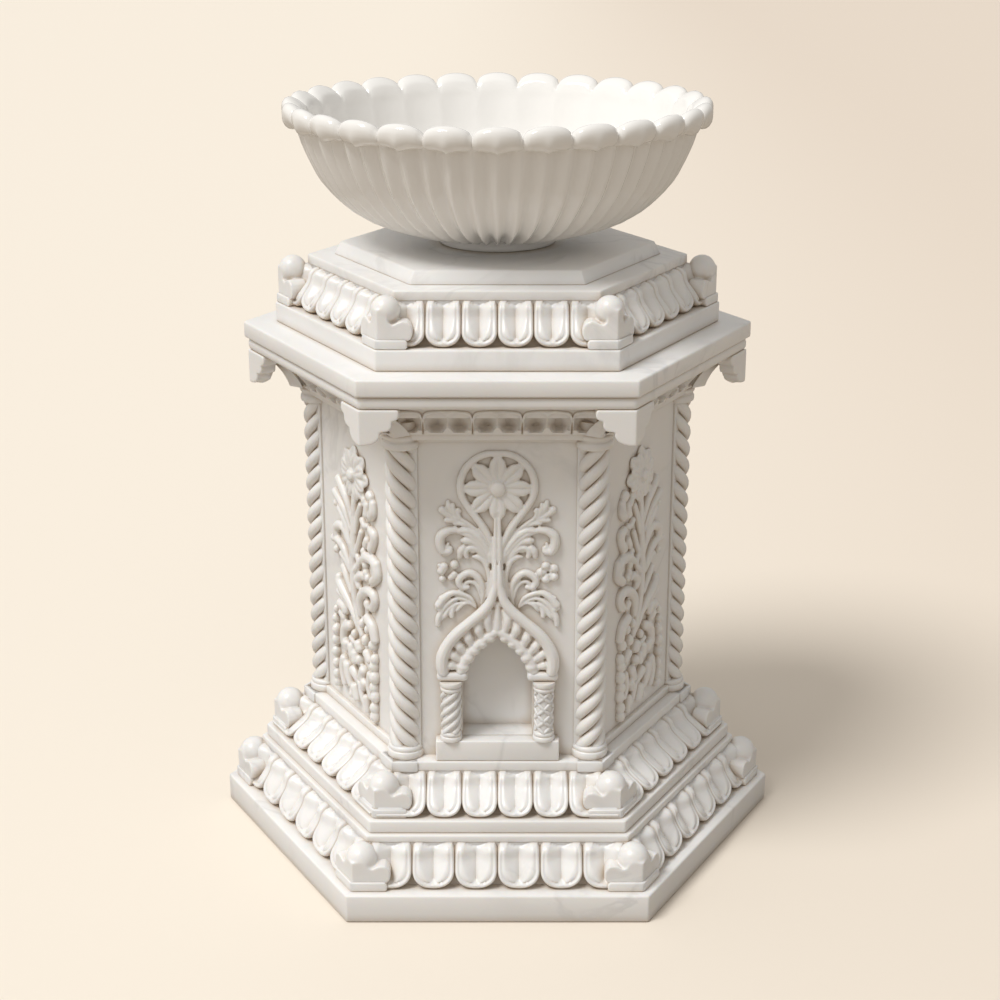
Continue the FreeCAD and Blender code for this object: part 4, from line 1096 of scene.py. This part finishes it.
SIDE_BUDS: tuple[Stroke, ...] = (
    ((16, 383, 3), (9, 370, 3), (2, 349, 2)),
    ((37, 400, 4.5), (40, 398, 4.5)),
    ((44, 393, 4), (44, 384, 4.5), (39, 377, 4)),
    ((32, 388, 4), (30, 377, 4.5)),
    ((24, 391, 3.5), (25, 386, 3)),
    ((18, 368, 3), (24, 363, 3), (31, 365, 3)),
    ((16, 354, 3), (8, 337, 3), (0, 322, 2)),
    ((38, 363, 4), (45, 360, 4.5), (44, 352, 4), (38, 343, 4.5)),
    ((30, 350, 4), (26, 343, 4)),
    ((21, 335, 4),),
    ((6, 324, 3), (8, 316, 3), (-1, 307, 3)),
    ((14, 322, 3.5), (29, 331, 5), (44, 331, 5), (49, 324, 5)),
    ((40, 308, 4.5), (51, 318, 5), (49, 330, 5)),
    ((24, 321, 4),),
    ((25, 313, 4),),
    ((29, 308, 4),),
    ((8, 292, 3.5), (5, 299, 4), (16, 307, 4), (20, 305, 3)),
    ((10, 262, 3.5), (10, 274, 4.5), (14, 284, 5), (26, 293, 5), (40, 295, 5), (44, 288, 4.5),
     (38, 278, 4)),
    ((27, 280, 4.5), (29, 276, 4)),
)
SIDE_BUSH: tuple[Stroke, ...] = (
    ((-37, 257, 4.5), (-27, 258, 4.5), (-24, 253, 4)),
    ((-46, 248, 4),),
    ((-34, 249, 4), (-29, 244, 3.5)),
    ((-50, 236, 4),),
    ((-48, 224, 5),),
    ((-49, 212, 5),),
    ((-50, 198, 5),),
    ((-49, 185, 5),),
    ((-48, 173, 5),),
    ((-48, 163, 4.5),),
    ((-14, 241, 4), (-26, 234, 4.5), (-31, 219, 4), (-28, 212, 3.5)),
    ((-4, 235, 4),),
    ((-15, 227, 2.5), (-6, 224, 2.5)),
    ((-23, 218, 5), (-22, 212, 4)),
    ((-32, 197, 4), (-35, 183, 4), (-31, 168, 3.5)),
    ((-24, 192, 4.5), (-21, 182, 4.5), (-16, 172, 3.5)),
    ((-12, 218, 4.5), (-9, 209, 4.5)),
    ((4, 227, 4.5), (7, 222, 4.5)),
    ((-4, 213, 4), (-3, 205, 4.5)),
    ((6, 209, 4.5),),
    ((-10, 192, 4.5), (-4, 188, 4), (0, 183, 3)),
    ((15, 201, 4.5), (9, 190, 4)),
    ((17, 188, 4.5), (13, 180, 3.5)),
    ((-6, 174, 5), (-1, 163, 4.5)),
    ((-13, 163, 4),),
    ((20, 172, 3.5), (21, 157, 3)),
    ((27, 264, 4.5), (38, 258, 4.5), (43, 245, 4)),
    ((16, 254, 4.5),),
    ((29, 252, 4.5),),
    ((23, 238, 5),),
    ((39, 238, 5),),
    ((24, 224, 4.5), (31, 218, 4)),
    ((42, 224, 4.5),),
    ((40, 215, 5),),
    ((41, 203, 5.5),),
    ((39, 191, 5),),
    ((41, 181, 5),),
    ((39, 168, 5),),
    ((39, 158, 5),),
    ((30, 202, 3.5), (27, 188, 3.5), (31, 176, 3)),
    ((5, 182, 3), (11, 168, 3), (17, 161, 2.5)),
)
ARCH_BAND: tuple[Stroke, ...] = (
    ((-2, 352, 1), (-2, 343, 2.5), (-2, 334, 3.5), (-2, 326, 4), (-4, 318, 4.5), (-7, 309, 5),
     (-14, 299, 5.5), (-26, 288, 5.5), (-39, 276, 6), (-48, 265, 6), (-54, 252, 6.5), (-55, 241, 6.5),
     (-54, 234, 6)),
)
ARCH_EDGE: tuple[Stroke, ...] = (
    ((0, 277, 4), (-4, 275, 4.5), (-12, 269, 4.5), (-20, 262, 5), (-28, 253, 5), (-33, 244, 5.5),
     (-36, 234, 5.5)),
    ((-7, 270, 5),),
    ((-15, 264, 5.5),),
    ((-23, 257, 6),),
    ((-29, 249, 6.5),),
    ((-34, 239, 6.5),),
)
ARCH_TONGUES: tuple[Stroke, ...] = (
    ((0, 306, 3), (0, 294, 4), (0, 281, 4.5)),
    ((-6, 299, 2), (-10, 290, 5), (-8, 279, 4)),
    ((-17, 289, 2), (-19, 280, 5.5), (-16, 272, 4)),
    ((-29, 279, 2), (-29, 271, 5.5), (-26, 263, 4)),
    ((-40, 269, 2), (-38, 262, 5.5), (-33, 255, 4)),
    ((-48, 257, 2.5), (-44, 252, 5.5), (-38, 247, 4)),
    ((-51, 243, 2.5), (-47, 241, 5.5), (-41, 239, 4)),
)
ARCH_OUTER: Outline = (
    (0, 316), (-4, 309), (-10, 303), (-17, 298), (-27, 290), (-38, 281), (-49, 271), (-56, 259),
    (-60, 248), (-61, 234),
)
ARCH_INNER: Outline = (
    (0, 269), (-4, 267), (-9, 263), (-14, 259), (-18, 255), (-22, 250), (-26, 244), (-28, 239),
    (-30, 234),
)


@dataclass
class NicheStones:
    """Cusped arch, two colonnettes and sill of the lamp niche."""

    face: float = 176.0
    back: float = 166.0
    ground: float = 171.5
    grain: float = 0.8
    pad_inner: float = 29.5
    pad_outer: float = 60.4
    pad_top: float = 234.0
    lower_rings: Outline = (
        (0, 0), (0.2, 1.2), (0.2, 3.4), (-0.6, 4.6), (-1.2, 5.0), (-0.6, 5.6), (-0.4, 7.6), (-1.2, 9.0),
        (-2.4, 9.8),
    )
    upper_rings: Outline = (
        (-2.4, 10.6), (-1.0, 9.8), (-0.3, 8.4), (-0.5, 6.4), (-1.4, 5.6), (-0.6, 5.0), (0.2, 3.6),
        (0.2, 1.2), (0, 0),
    )

    def build(self) -> None:
        """Builds the arch, the colonnettes and the sill."""
        dress(self.arch(), "niche_arch_stone", ["niche_arch"], crease=60.0)
        for side in ("left", "right"):
            name = f"niche_colonnette_{side}"
            dress(self.colonnette(name), f"{name}_stone", [name], crease=45.0)
        dress(Workshop.block(*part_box("niche_sill"), 1.6), "niche_sill_stone", ["niche_sill"])

    def arch(self) -> Piece:
        """Ogee band, egg tongues and cusped edge melted into one stone."""
        low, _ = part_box("niche_arch")
        pad_foot = low.z / MM
        right = [(-x, z) for x, z in ARCH_OUTER[1:]]
        hole = [(-x, z) for x, z in ARCH_INNER[1:]]
        outline = [*ARCH_OUTER[::-1], *right, *hole[::-1], *ARCH_INNER]
        parts = [Workshop.prism(outline, self.ground - self.back + 4.0)]
        for strokes, lift, flat in ((ARCH_BAND, 2.4, 1.0), (ARCH_EDGE, 1.4, 0.9), (ARCH_TONGUES, 0.8, 1.0)):
            parts.append(Carver.carve(strokes, lift=lift, flat=flat, mirrored=True))
        stone = Workshop.shift(Workshop.join(parts), y=-self.ground)
        Workshop.fuse(stone, self.grain, 2)
        pads = []
        for left, right_end in ((-self.pad_outer, -self.pad_inner), (self.pad_inner, self.pad_outer)):
            corner = Vector((left, -self.face - 2.0, pad_foot)) * MM
            opposite = Vector((right_end, 2.0 - self.back, self.pad_top)) * MM
            pads.append(Workshop.block(corner, opposite, 4.4, segments=6))
        return Workshop.join([stone, *pads])

    def colonnette(self, node: str) -> Piece:
        """Small column: rings below and above, and a shaft of crossing bands."""
        low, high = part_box(node)
        foot, head = low.z / MM, high.z / MM
        middle = (low + high) / 2
        radius = (high.x - low.x) / 2 / MM
        rim = radius - 0.2
        below = [(rim + out, foot + up) for out, up in self.lower_rings]
        above = [(rim + out, head - down) for out, down in self.upper_rings]
        shaft = Workshop.lathe([(0, foot), *below, *above, (0, head)], 40)
        hands, count, thick = ((1,), 5, 2.6) if node.endswith("left") else ((1, -1), 4, 1.9)
        paths = [self.band(rim - 2.7, foot + 9.0, head - 10.0, hand * 0.85, index / count)
                 for hand in hands for index in range(count)]
        whole = Workshop.join([shaft, Workshop.rods(paths, thick)])
        return Workshop.shift(whole, middle.x / MM, middle.y / MM)

    @staticmethod
    def band(radius: float, low: float, top: float, turns: float, start: float) -> list[Vector]:
        """Path of a band that climbs round a colonnette, from a starting share of the round."""
        path = []
        for step in range(29):
            angle = math.tau * (start + turns * step / 28)
            path.append(Vector((radius * math.cos(angle), radius * math.sin(angle),
                                low + (top - low) * step / 28, 1.0)))
        return path


@dataclass
class CarvedPanels:
    """Six slabs of the shaft with flower reliefs and plain strips beside the columns."""

    face: float = 166.0
    depth: float = 26.0
    grain: float = 0.8
    strip_out: float = 2.6
    strip_from: float = 77.0
    strip_to: float = 93.0
    niche_half: float = 35.0
    ledge_out: float = 5.0
    ledge_height: float = 9.0
    sunk: float = 2.0

    def build(self) -> None:
        """Carves the front panel once and the flowering bush five times."""
        low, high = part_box("front_panel")
        self.foot, self.head = low.z / MM, high.z / MM
        self.half = self.face * math.tan(TURN / 2)
        self.niche_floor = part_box("niche_sill")[1].z / MM
        self.niche_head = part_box("niche_back")[1].z / MM - 10.0
        front = self.set_on([self.front_slab(), self.front_relief()], 0)
        dress(front, "front_panel_stone", ["front_panel"], crease=60.0)
        bush = self.bush_relief()
        names = ("right_front", "right_back", "back", "left_back", "left_front")
        for index, name in enumerate(names, start=1):
            change = Matrix.Identity(4)
            if index < 3:
                change = Matrix.Scale(-1, 4, Vector((1, 0, 0)))
            slab = self.plate(-self.half, self.half, self.head)
            ledge = self.bar(-self.strip_from, self.strip_from, self.foot + self.ledge_height, self.ledge_out)
            panel = self.set_on([slab, ledge, Workshop.copy(bush, change)], index)
            dress(panel, f"{name}_panel_stone", [f"{name}_panel"], crease=60.0)
        bpy.data.objects.remove(bush)

    def front_slab(self) -> Piece:
        """Slab with the round-headed opening of the niche."""
        wide = self.niche_half
        spring = self.niche_head - wide
        turns = [math.pi * step / 24 for step in range(25)]
        arc = [(-wide * math.cos(turn), spring + wide * math.sin(turn)) for turn in turns]
        outline = [(-self.half, self.foot), (-wide, self.foot), *arc, (wide, self.foot),
                   (self.half, self.foot), (self.half, self.head), (-self.half, self.head)]
        return Workshop.join([Workshop.prism(outline, self.depth), self.plate(-wide, wide, self.niche_floor)])

    def plate(self, left: float, right: float, top: float) -> Piece:
        """Plain part of a slab, from the foot up."""
        return Workshop.prism([(left, self.foot), (right, self.foot), (right, top), (left, top)], self.depth)

    def bar(self, left: float, right: float, top: float, out: float) -> Piece:
        """Plain raised bar on the panel's face, from the foot up, with softened edges."""
        low, high = Vector((left, -out, self.foot)), Vector((right, self.sunk, top))
        return Workshop.block(low * MM, high * MM, 1.2)

    def set_on(self, parts: list[Piece], side: int) -> Piece:
        """Adds the plain strips and turns the whole onto its face."""
        for sign in (-1, 1):
            ends = sorted((sign * self.strip_from, sign * self.strip_to))
            parts.append(self.bar(*ends, self.head, self.strip_out))
        whole = Workshop.shift(Workshop.join(parts), y=-self.face)
        whole.data.transform(Matrix.Rotation(TURN * side, 4, "Z"))
        return whole

    def front_relief(self) -> Piece:
        """Flower in a ring of stems, with scrolls and leaves on both sides."""
        parts = [
            Carver.carve(RING, lift=1.2, flat=1.1, mirrored=True),
            Carver.carve(STEM, lift=2.0, flat=1.0),
            Carver.carve(CROSS, lift=4.2, flat=1.0, mirrored=True),
            Carver.carve(TOP_LEAF + LOW_CURL + CURL, lift=1.2, flat=1.1, mirrored=True, fuller=1.12),
            Carver.carve(SCROLL + ACANTHUS, lift=1.4, flat=1.1, mirrored=True, fuller=1.1),
            Carver.carve(BEADS, lift=1.4, flat=0.95, fuller=1.1),
            Carver.flower(x=0.2, z=425.0, size=33.5, petals=8, hub=7.6, lift=3.0),
            self.round_flower(x=49.6, z=337.4, size=11.6),
        ]
        return Workshop.fuse(Workshop.join(parts), self.grain, 1)

    def round_flower(self, x: float, z: float, size: float) -> Piece:
        """Small flower of five round petals."""
        petals = []
        for index in range(5):
            angle = math.radians(90 + 18) + math.tau * index / 5
            way = Vector((math.cos(angle), math.sin(angle))) * size
            petals.append(tuple((x + out * way.x, z + out * way.y, size * half)
                                for out, half in ((0.3, 0.2), (0.6, 0.42))))
        return Carver.carve(petals, lift=1.2, flat=0.85)

    def bush_relief(self) -> Piece:
        """Tall flower over fans of leaves, buds and a dense foot of foliage."""
        parts = [
            Carver.carve(SIDE_STEM, lift=1.0, flat=1.0, fuller=1.15),
            Carver.carve(SIDE_FAN + SIDE_BUDS, lift=1.6, flat=1.0, fuller=1.22),
            Carver.carve(SIDE_BUSH, lift=2.0, flat=1.0, fuller=1.4),
            Carver.flower(x=2.2, z=411.5, size=27.0, petals=8, hub=6.4, lean=22.5, lift=4.0),
            Carver.flower(x=2.2, z=411.5, size=31.0, petals=8, hub=5.0, lift=1.6),
        ]
        return Workshop.fuse(Workshop.join(parts), self.grain * 1.3, 1)


@dataclass
class FlutedBowl:
    """Round bowl with concave flutes, a scalloped rim, a foot and a drain hole."""

    lobes: int = 28
    lobe_columns: int = 16
    flute_depth: float = 7.0
    wall: Outline = (
        (8.0, 632.0), (50.0, 632.0), (57.0, 632.2), (59.6, 633.6), (60.0, 636.5), (60.0, 642.0),
        (63.0, 643.2), (70.0, 643.6), (78.0, 644.2), (92.0, 646.5), (105.0, 650.0), (118.0, 654.5),
        (126.0, 657.6), (134.0, 661.0), (142.0, 665.8), (150.0, 671.0), (159.5, 679.0), (168.0, 687.8),
        (177.0, 698.7), (182.0, 706.8), (186.0, 715.0), (189.2, 721.5), (192.0, 728.0), (194.2, 733.5),
        (196.0, 739.0), (197.5, 744.0), (198.5, 748.0), (199.5, 752.0),
    )
    lobe: Outline = (
        (203.6, 750.6), (207.4, 751.4), (210.6, 754.0), (212.8, 757.8), (213.7, 762.4), (213.7, 767.2),
        (212.6, 771.4), (210.4, 774.6), (207.2, 775.9), (203.4, 775.4), (199.4, 773.4), (195.4, 770.6),
        (191.6, 767.2),
    )
    notch: Outline = (
        (200.0, 754.0), (201.6, 755.0), (203.2, 756.6), (204.4, 758.6), (204.9, 760.6), (204.6, 762.4),
        (203.6, 763.8), (202.2, 764.6), (200.4, 764.8), (198.2, 764.6), (195.8, 763.8), (193.6, 762.6),
        (191.5, 760.6),
    )
    inside: Outline = (
        (188.8, 756.0), (187.0, 749.0), (185.0, 743.0), (182.0, 732.0), (178.0, 720.0), (173.0, 711.0),
        (167.0, 702.0), (159.0, 693.5), (150.0, 686.0), (140.0, 679.5), (130.0, 674.0), (105.0, 664.0),
        (80.0, 658.0), (50.0, 655.6), (20.0, 654.8), (10.5, 654.4), (8.0, 653.0), (8.0, 632.0),
    )

    def build(self) -> None:
        """Builds the bowl as one closed skin."""
        self.points = self.wall + self.lobe + self.inside
        rows = len(self.points) - 1
        piece = Workshop.sheet(self.lobes * self.lobe_columns, rows, self.place)
        Workshop.mend(piece, 0.02)
        dress(piece, "fluted_bowl", ["bowl"], Body.BOWL, BOWL_MARBLE, crease=75.0)

    def place(self, u: float, v: float) -> Vector:
        """Point of the skin: u runs once round and v along the section."""
        turn = (u + 1) / 2 * self.lobes
        across = 2 * (turn % 1.0) - 1
        step = round((v + 1) / 2 * (len(self.points) - 1))
        radius, level = self.section(step, across)
        angle = math.tau * turn / self.lobes - math.pi / 2 - math.pi / self.lobes
        return Vector((radius * math.cos(angle), radius * math.sin(angle), level))

    def section(self, step: int, across: float) -> tuple[float, float]:
        """Radius and level of one section point, across one lobe from -1 to 1."""
        radius, level = self.points[step]
        rim = step - len(self.wall)
        if 0 <= rim < len(self.lobe):
            full = math.sqrt(max(1 - abs(across)**2.1, 0.0))
            low_radius, low_level = self.notch[rim]
            radius = low_radius + (radius - low_radius) * full
            level = low_level + (level - low_level) * full
            if rim < 6:
                scoop = 1 - abs(2 * abs(across) - 1)**2.2
                radius -= 5.0 * scoop * (1 - rim / 6)**1.4
                level += 1.6 * scoop * (1 - rim / 6)
            return radius, level
        if 0 <= rim - len(self.lobe) < 12:
            fade = 1 - (rim - len(self.lobe)) / 12
            return radius + 1.7 * fade * (1 - abs(across)**1.6), level
        if rim < 0 and radius > 60.5:
            return self.fluted(radius, level, across)
        return radius, level

    def fluted(self, radius: float, level: float, across: float) -> tuple[float, float]:
        """Wall point drawn in by its flute; two flutes lie under each lobe."""
        ridge = abs(2 * abs(across) - 1)
        inner = (0.5 + 0.5 * math.cos(math.pi * ridge))**0.8
        start = clamp((radius - 62.0) / 30.0)
        end = clamp((760.0 - level) / 14.0)
        depth = self.flute_depth * inner * start * end**0.6
        under = clamp(1 - abs(level - 748.0) / 7.0) * 1.4 * (1 - abs(across)**3)
        slope = math.atan2(level - 640.0, 1.35 * (radius - 55.0))
        return radius - (depth + under) * math.sin(slope + 0.35), level + depth * math.cos(slope + 0.35)


@dataclass
class Frieze:
    """Head course of the shaft: broad leaning petals, each with two flutes, over a narrow ledge."""

    width: float = 47.0
    columns: int = 38
    rows: int = 30
    foot: float = 483.0
    crown: float = 512.5
    ledge: float = 475.3
    lean_foot: float = 181.0
    corner: float = 5.0
    flute: float = 14.0
    rim_from: float = 0.93
    gap: float = 3.5
    crest: float = 3.0
    tongue: float = 2.0
    border_depth: float = 14.0

    def build(self) -> None:
        """Builds five petals a face and the ledge with its core."""
        low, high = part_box("frieze_course")
        self.low, self.top = low.z / MM, high.z / MM
        self.out = high.y / MM
        petal = Workshop.sheet(self.columns, self.rows, self.place)
        Workshop.close_back(petal, self.border_depth)
        face = Workshop.in_row([petal] * 5, self.width)
        bpy.data.objects.remove(petal)
        rings = ((self.low, self.ledge + 1.0, 168.0, 168.0, 0.8),
                 (self.ledge, self.foot + 3.0, 176.0, 177.0, 1.4),
                 (self.foot, self.top, 166.4, self.out - 17.0, 0.5),
                 (self.crown - 9.0, self.top, self.out - 8.0, self.out - 2.0, 0.5))
        parts = [Workshop.apply(hexagon_ring(*ring[:4]), "BEVEL", width=ring[4] * MM, segments=2)
                 for ring in rings]
        whole = Workshop.join([*parts, Workshop.around(face, SIDES)])
        dress(whole, "frieze_course_stone", ["frieze_course"], crease=60.0)

    def place(self, u: float, v: float) -> Vector:
        """Point of one petal: u runs across it and v upwards."""
        climb = (v + 1) / 2
        side = abs(u)
        across = u * self.width / 2
        past = max(abs(across) - (self.width / 2 - self.corner), 0.0) / self.corner
        head = self.crown - 2.5 * side**2 - self.corner * (1 - math.sqrt(max(1 - past**2, 0.0)))
        level = self.foot + (head - self.foot) * climb
        lean = self.lean_foot + (self.out - 1.0 - self.lean_foot) * (0.3 * climb + 0.7 * climb**1.5)
        return Vector((across, -(lean - self.inward(side, climb)), level))

    def inward(self, side: float, climb: float) -> float:
        """How far the two flutes lie behind the petal's rim.

        Args:
            side: share of the half width, from the middle.
            climb: share of the height.

        Returns:
            Depth in millimetres.
        """
        gap = self.gap * clamp((side - self.rim_from) / (1 - self.rim_from))**2
        crest = self.crest * clamp((climb - 0.9) / 0.1)**2
        arch = 0.62 + 0.27 * math.sqrt(max(1 - ((side - 0.47) / 0.5)**2, 0.0))
        if climb >= arch or side > self.rim_from:
            ceiling = 0.0
        else:
            ceiling = (1 - max((climb - 0.3) / (arch - 0.3), 0.0)**5)**0.6
        sill = 0.07 + 0.24 * hump(side, 0.0, 0.17) + 0.12 * hump(side, 0.84, 0.12)
        ceiling *= clamp((climb - sill) / 0.12)**0.6
        wave = 0.5 - 0.5 * math.cos(math.tau * min(side / 0.94, 1.0))
        border = clamp((self.rim_from - side) / 0.05)
        tongue = self.tongue * hump(side, 0.0, 0.16) * hump(climb, 0.8, 0.14)
        return gap + crest + self.flute * (0.4 * border + 0.6 * wave**0.6) * ceiling - tongue


@dataclass
class Stage:
    """Pale floor and wall, one soft lamp, the room's light and the photo's point of view."""

    sensor: float = 36.0
    focal: float = 1885.9
    shift: float = 0.00256
    distance: float = 1889.05
    height: float = 1015.97
    pitch: float = 19.312
    floor_painted_light: Colour = (0.90, 0.825, 0.72)
    floor_painted_shade: Colour = (0.765, 0.67, 0.57)
    floor_bounce: Colour = (0.40, 0.34, 0.27)
    room_bright: Colour = (1.25, 1.215, 1.165)
    room_dim: Colour = (0.80, 0.775, 0.74)
    room_power: float = 0.53
    sun_way: tuple[float, float, float] = (-0.52, -0.4, 1.0)
    sun_spread: float = 22.0
    sun_power: float = 1.98
    sun_colour: Colour = (1.0, 0.995, 0.985)

    def camera(self) -> None:
        """Adds the camera that the photo was fitted with."""
        data = bpy.data.cameras.new("view")
        data.sensor_width = self.sensor
        data.lens = self.focal * self.sensor / 1000
        data.shift_x = self.shift
        camera = bpy.data.objects.new("view", data)
        bpy.context.collection.objects.link(camera)
        camera.location = Vector((0, -self.distance, self.height)) * MM
        camera.rotation_euler = (math.radians(90 - self.pitch), 0, 0)
        bpy.context.scene.camera = camera

    @staticmethod
    def across(tree: Tree, place: Socket, left: float, right: float) -> Socket:
        """Soft step from 0 to 1 along X, between two places."""
        split = tree.nodes.new("ShaderNodeSeparateXYZ")
        tree.links.new(place, split.inputs[0])
        spread = tree.nodes.new("ShaderNodeMapRange")
        spread.interpolation_type = "SMOOTHSTEP"
        spread.inputs["From Min"].default_value = left
        spread.inputs["From Max"].default_value = right
        tree.links.new(split.outputs["X"], spread.inputs["Value"])
        return spread.outputs["Result"]

    def backdrop(self) -> None:
        """Wide paper floor that fills the view, with painted shade that darkens it towards the right."""
        floor = Workshop.stock(bpy.ops.mesh.primitive_plane_add, size=60)
        floor.name = "backdrop"
        material, tree, shader, place = start_material("cream_paper")
        # painted light and shade: the floor's colour runs from a lit tone on the left to a shaded tone on the
        # right
        colour = Marble.blend(tree, self.across(tree, place, -0.6, 1.6), self.floor_painted_light, self.floor_painted_shade)
        seen = tree.nodes.new("ShaderNodeLightPath").outputs["Is Camera Ray"]
        colour = Marble.blend(tree, seen, self.floor_bounce, colour)
        tree.links.new(colour, shader.inputs["Base Color"])
        shader.inputs["Roughness"].default_value = 0.9
        floor.data.materials.append(material)

    def sun(self) -> None:
        """Adds the one broad far lamp, in front and to the left."""
        data = bpy.data.lights.new("key", "SUN")
        data.angle = math.radians(self.sun_spread)
        data.energy = self.sun_power
        data.color = self.sun_colour
        lamp = bpy.data.objects.new("key", data)
        bpy.context.collection.objects.link(lamp)
        lamp.rotation_euler = (-Vector(self.sun_way)).to_track_quat("-Z", "Y").to_euler()

    def room(self) -> None:
        """Soft room light, brighter from the left than from the right."""
        world = bpy.data.worlds.new("soft_room")
        world.use_nodes = True
        tree = world.node_tree
        way = tree.nodes.new("ShaderNodeTexCoord").outputs["Generated"]
        colour = Marble.blend(tree, self.across(tree, way, -0.9, 0.9), self.room_bright, self.room_dim)
        light = tree.nodes["Background"]
        tree.links.new(colour, light.inputs["Color"])
        light.inputs["Strength"].default_value = self.room_power
        wall = tree.nodes.new("ShaderNodeBackground")
        # camera rays see the floor's painted shade tone behind everything
        wall.inputs["Color"].default_value = (*self.floor_painted_shade, 1.0)
        seen = tree.nodes.new("ShaderNodeLightPath").outputs["Is Camera Ray"]
        mix = tree.nodes.new("ShaderNodeMixShader")
        tree.links.new(seen, mix.inputs[0])
        tree.links.new(light.outputs[0], mix.inputs[1])
        tree.links.new(wall.outputs[0], mix.inputs[2])
        tree.links.new(mix.outputs[0], tree.nodes["World Output"].inputs["Surface"])
        bpy.context.scene.world = world

    def build(self) -> None:
        """Sets the whole stage."""
        self.camera()
        self.backdrop()
        self.sun()
        self.room()
        bpy.context.scene.view_settings.view_transform = "Standard"


def dress_rest() -> None:
    """Gives every CAD node that still shows its finish."""
    for name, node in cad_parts.items():
        finish = PEDESTAL_MARBLE
        if name == "bowl":
            finish = BOWL_MARBLE
        elif name in ("plinth_dowels", "head_dowels", "column_pins"):
            finish = DOWEL_STEEL
        node.data.materials.clear()
        node.data.materials.append(finish.material())


def main() -> None:
    """Builds the stage and every group of pieces."""
    logging.basicConfig(level=logging.INFO, format="%(name)s: %(message)s")
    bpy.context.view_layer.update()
    Stage().build()
    Slabs().build()
    PetalBand("lower", 42.5, shoulder=0.52).build()
    PetalBand("middle", 35.7, shoulder=0.36).build()
    PetalBand("upper", 33.7, shoulder=0.48).build()
    build_corner_stones()
    RopeColumns().build()
    Brackets().build()
    Frieze().build()
    NicheStones().build()
    CarvedPanels().build()
    FlutedBowl().build()
    dress_rest()


if __name__ == "__main__":
    main()
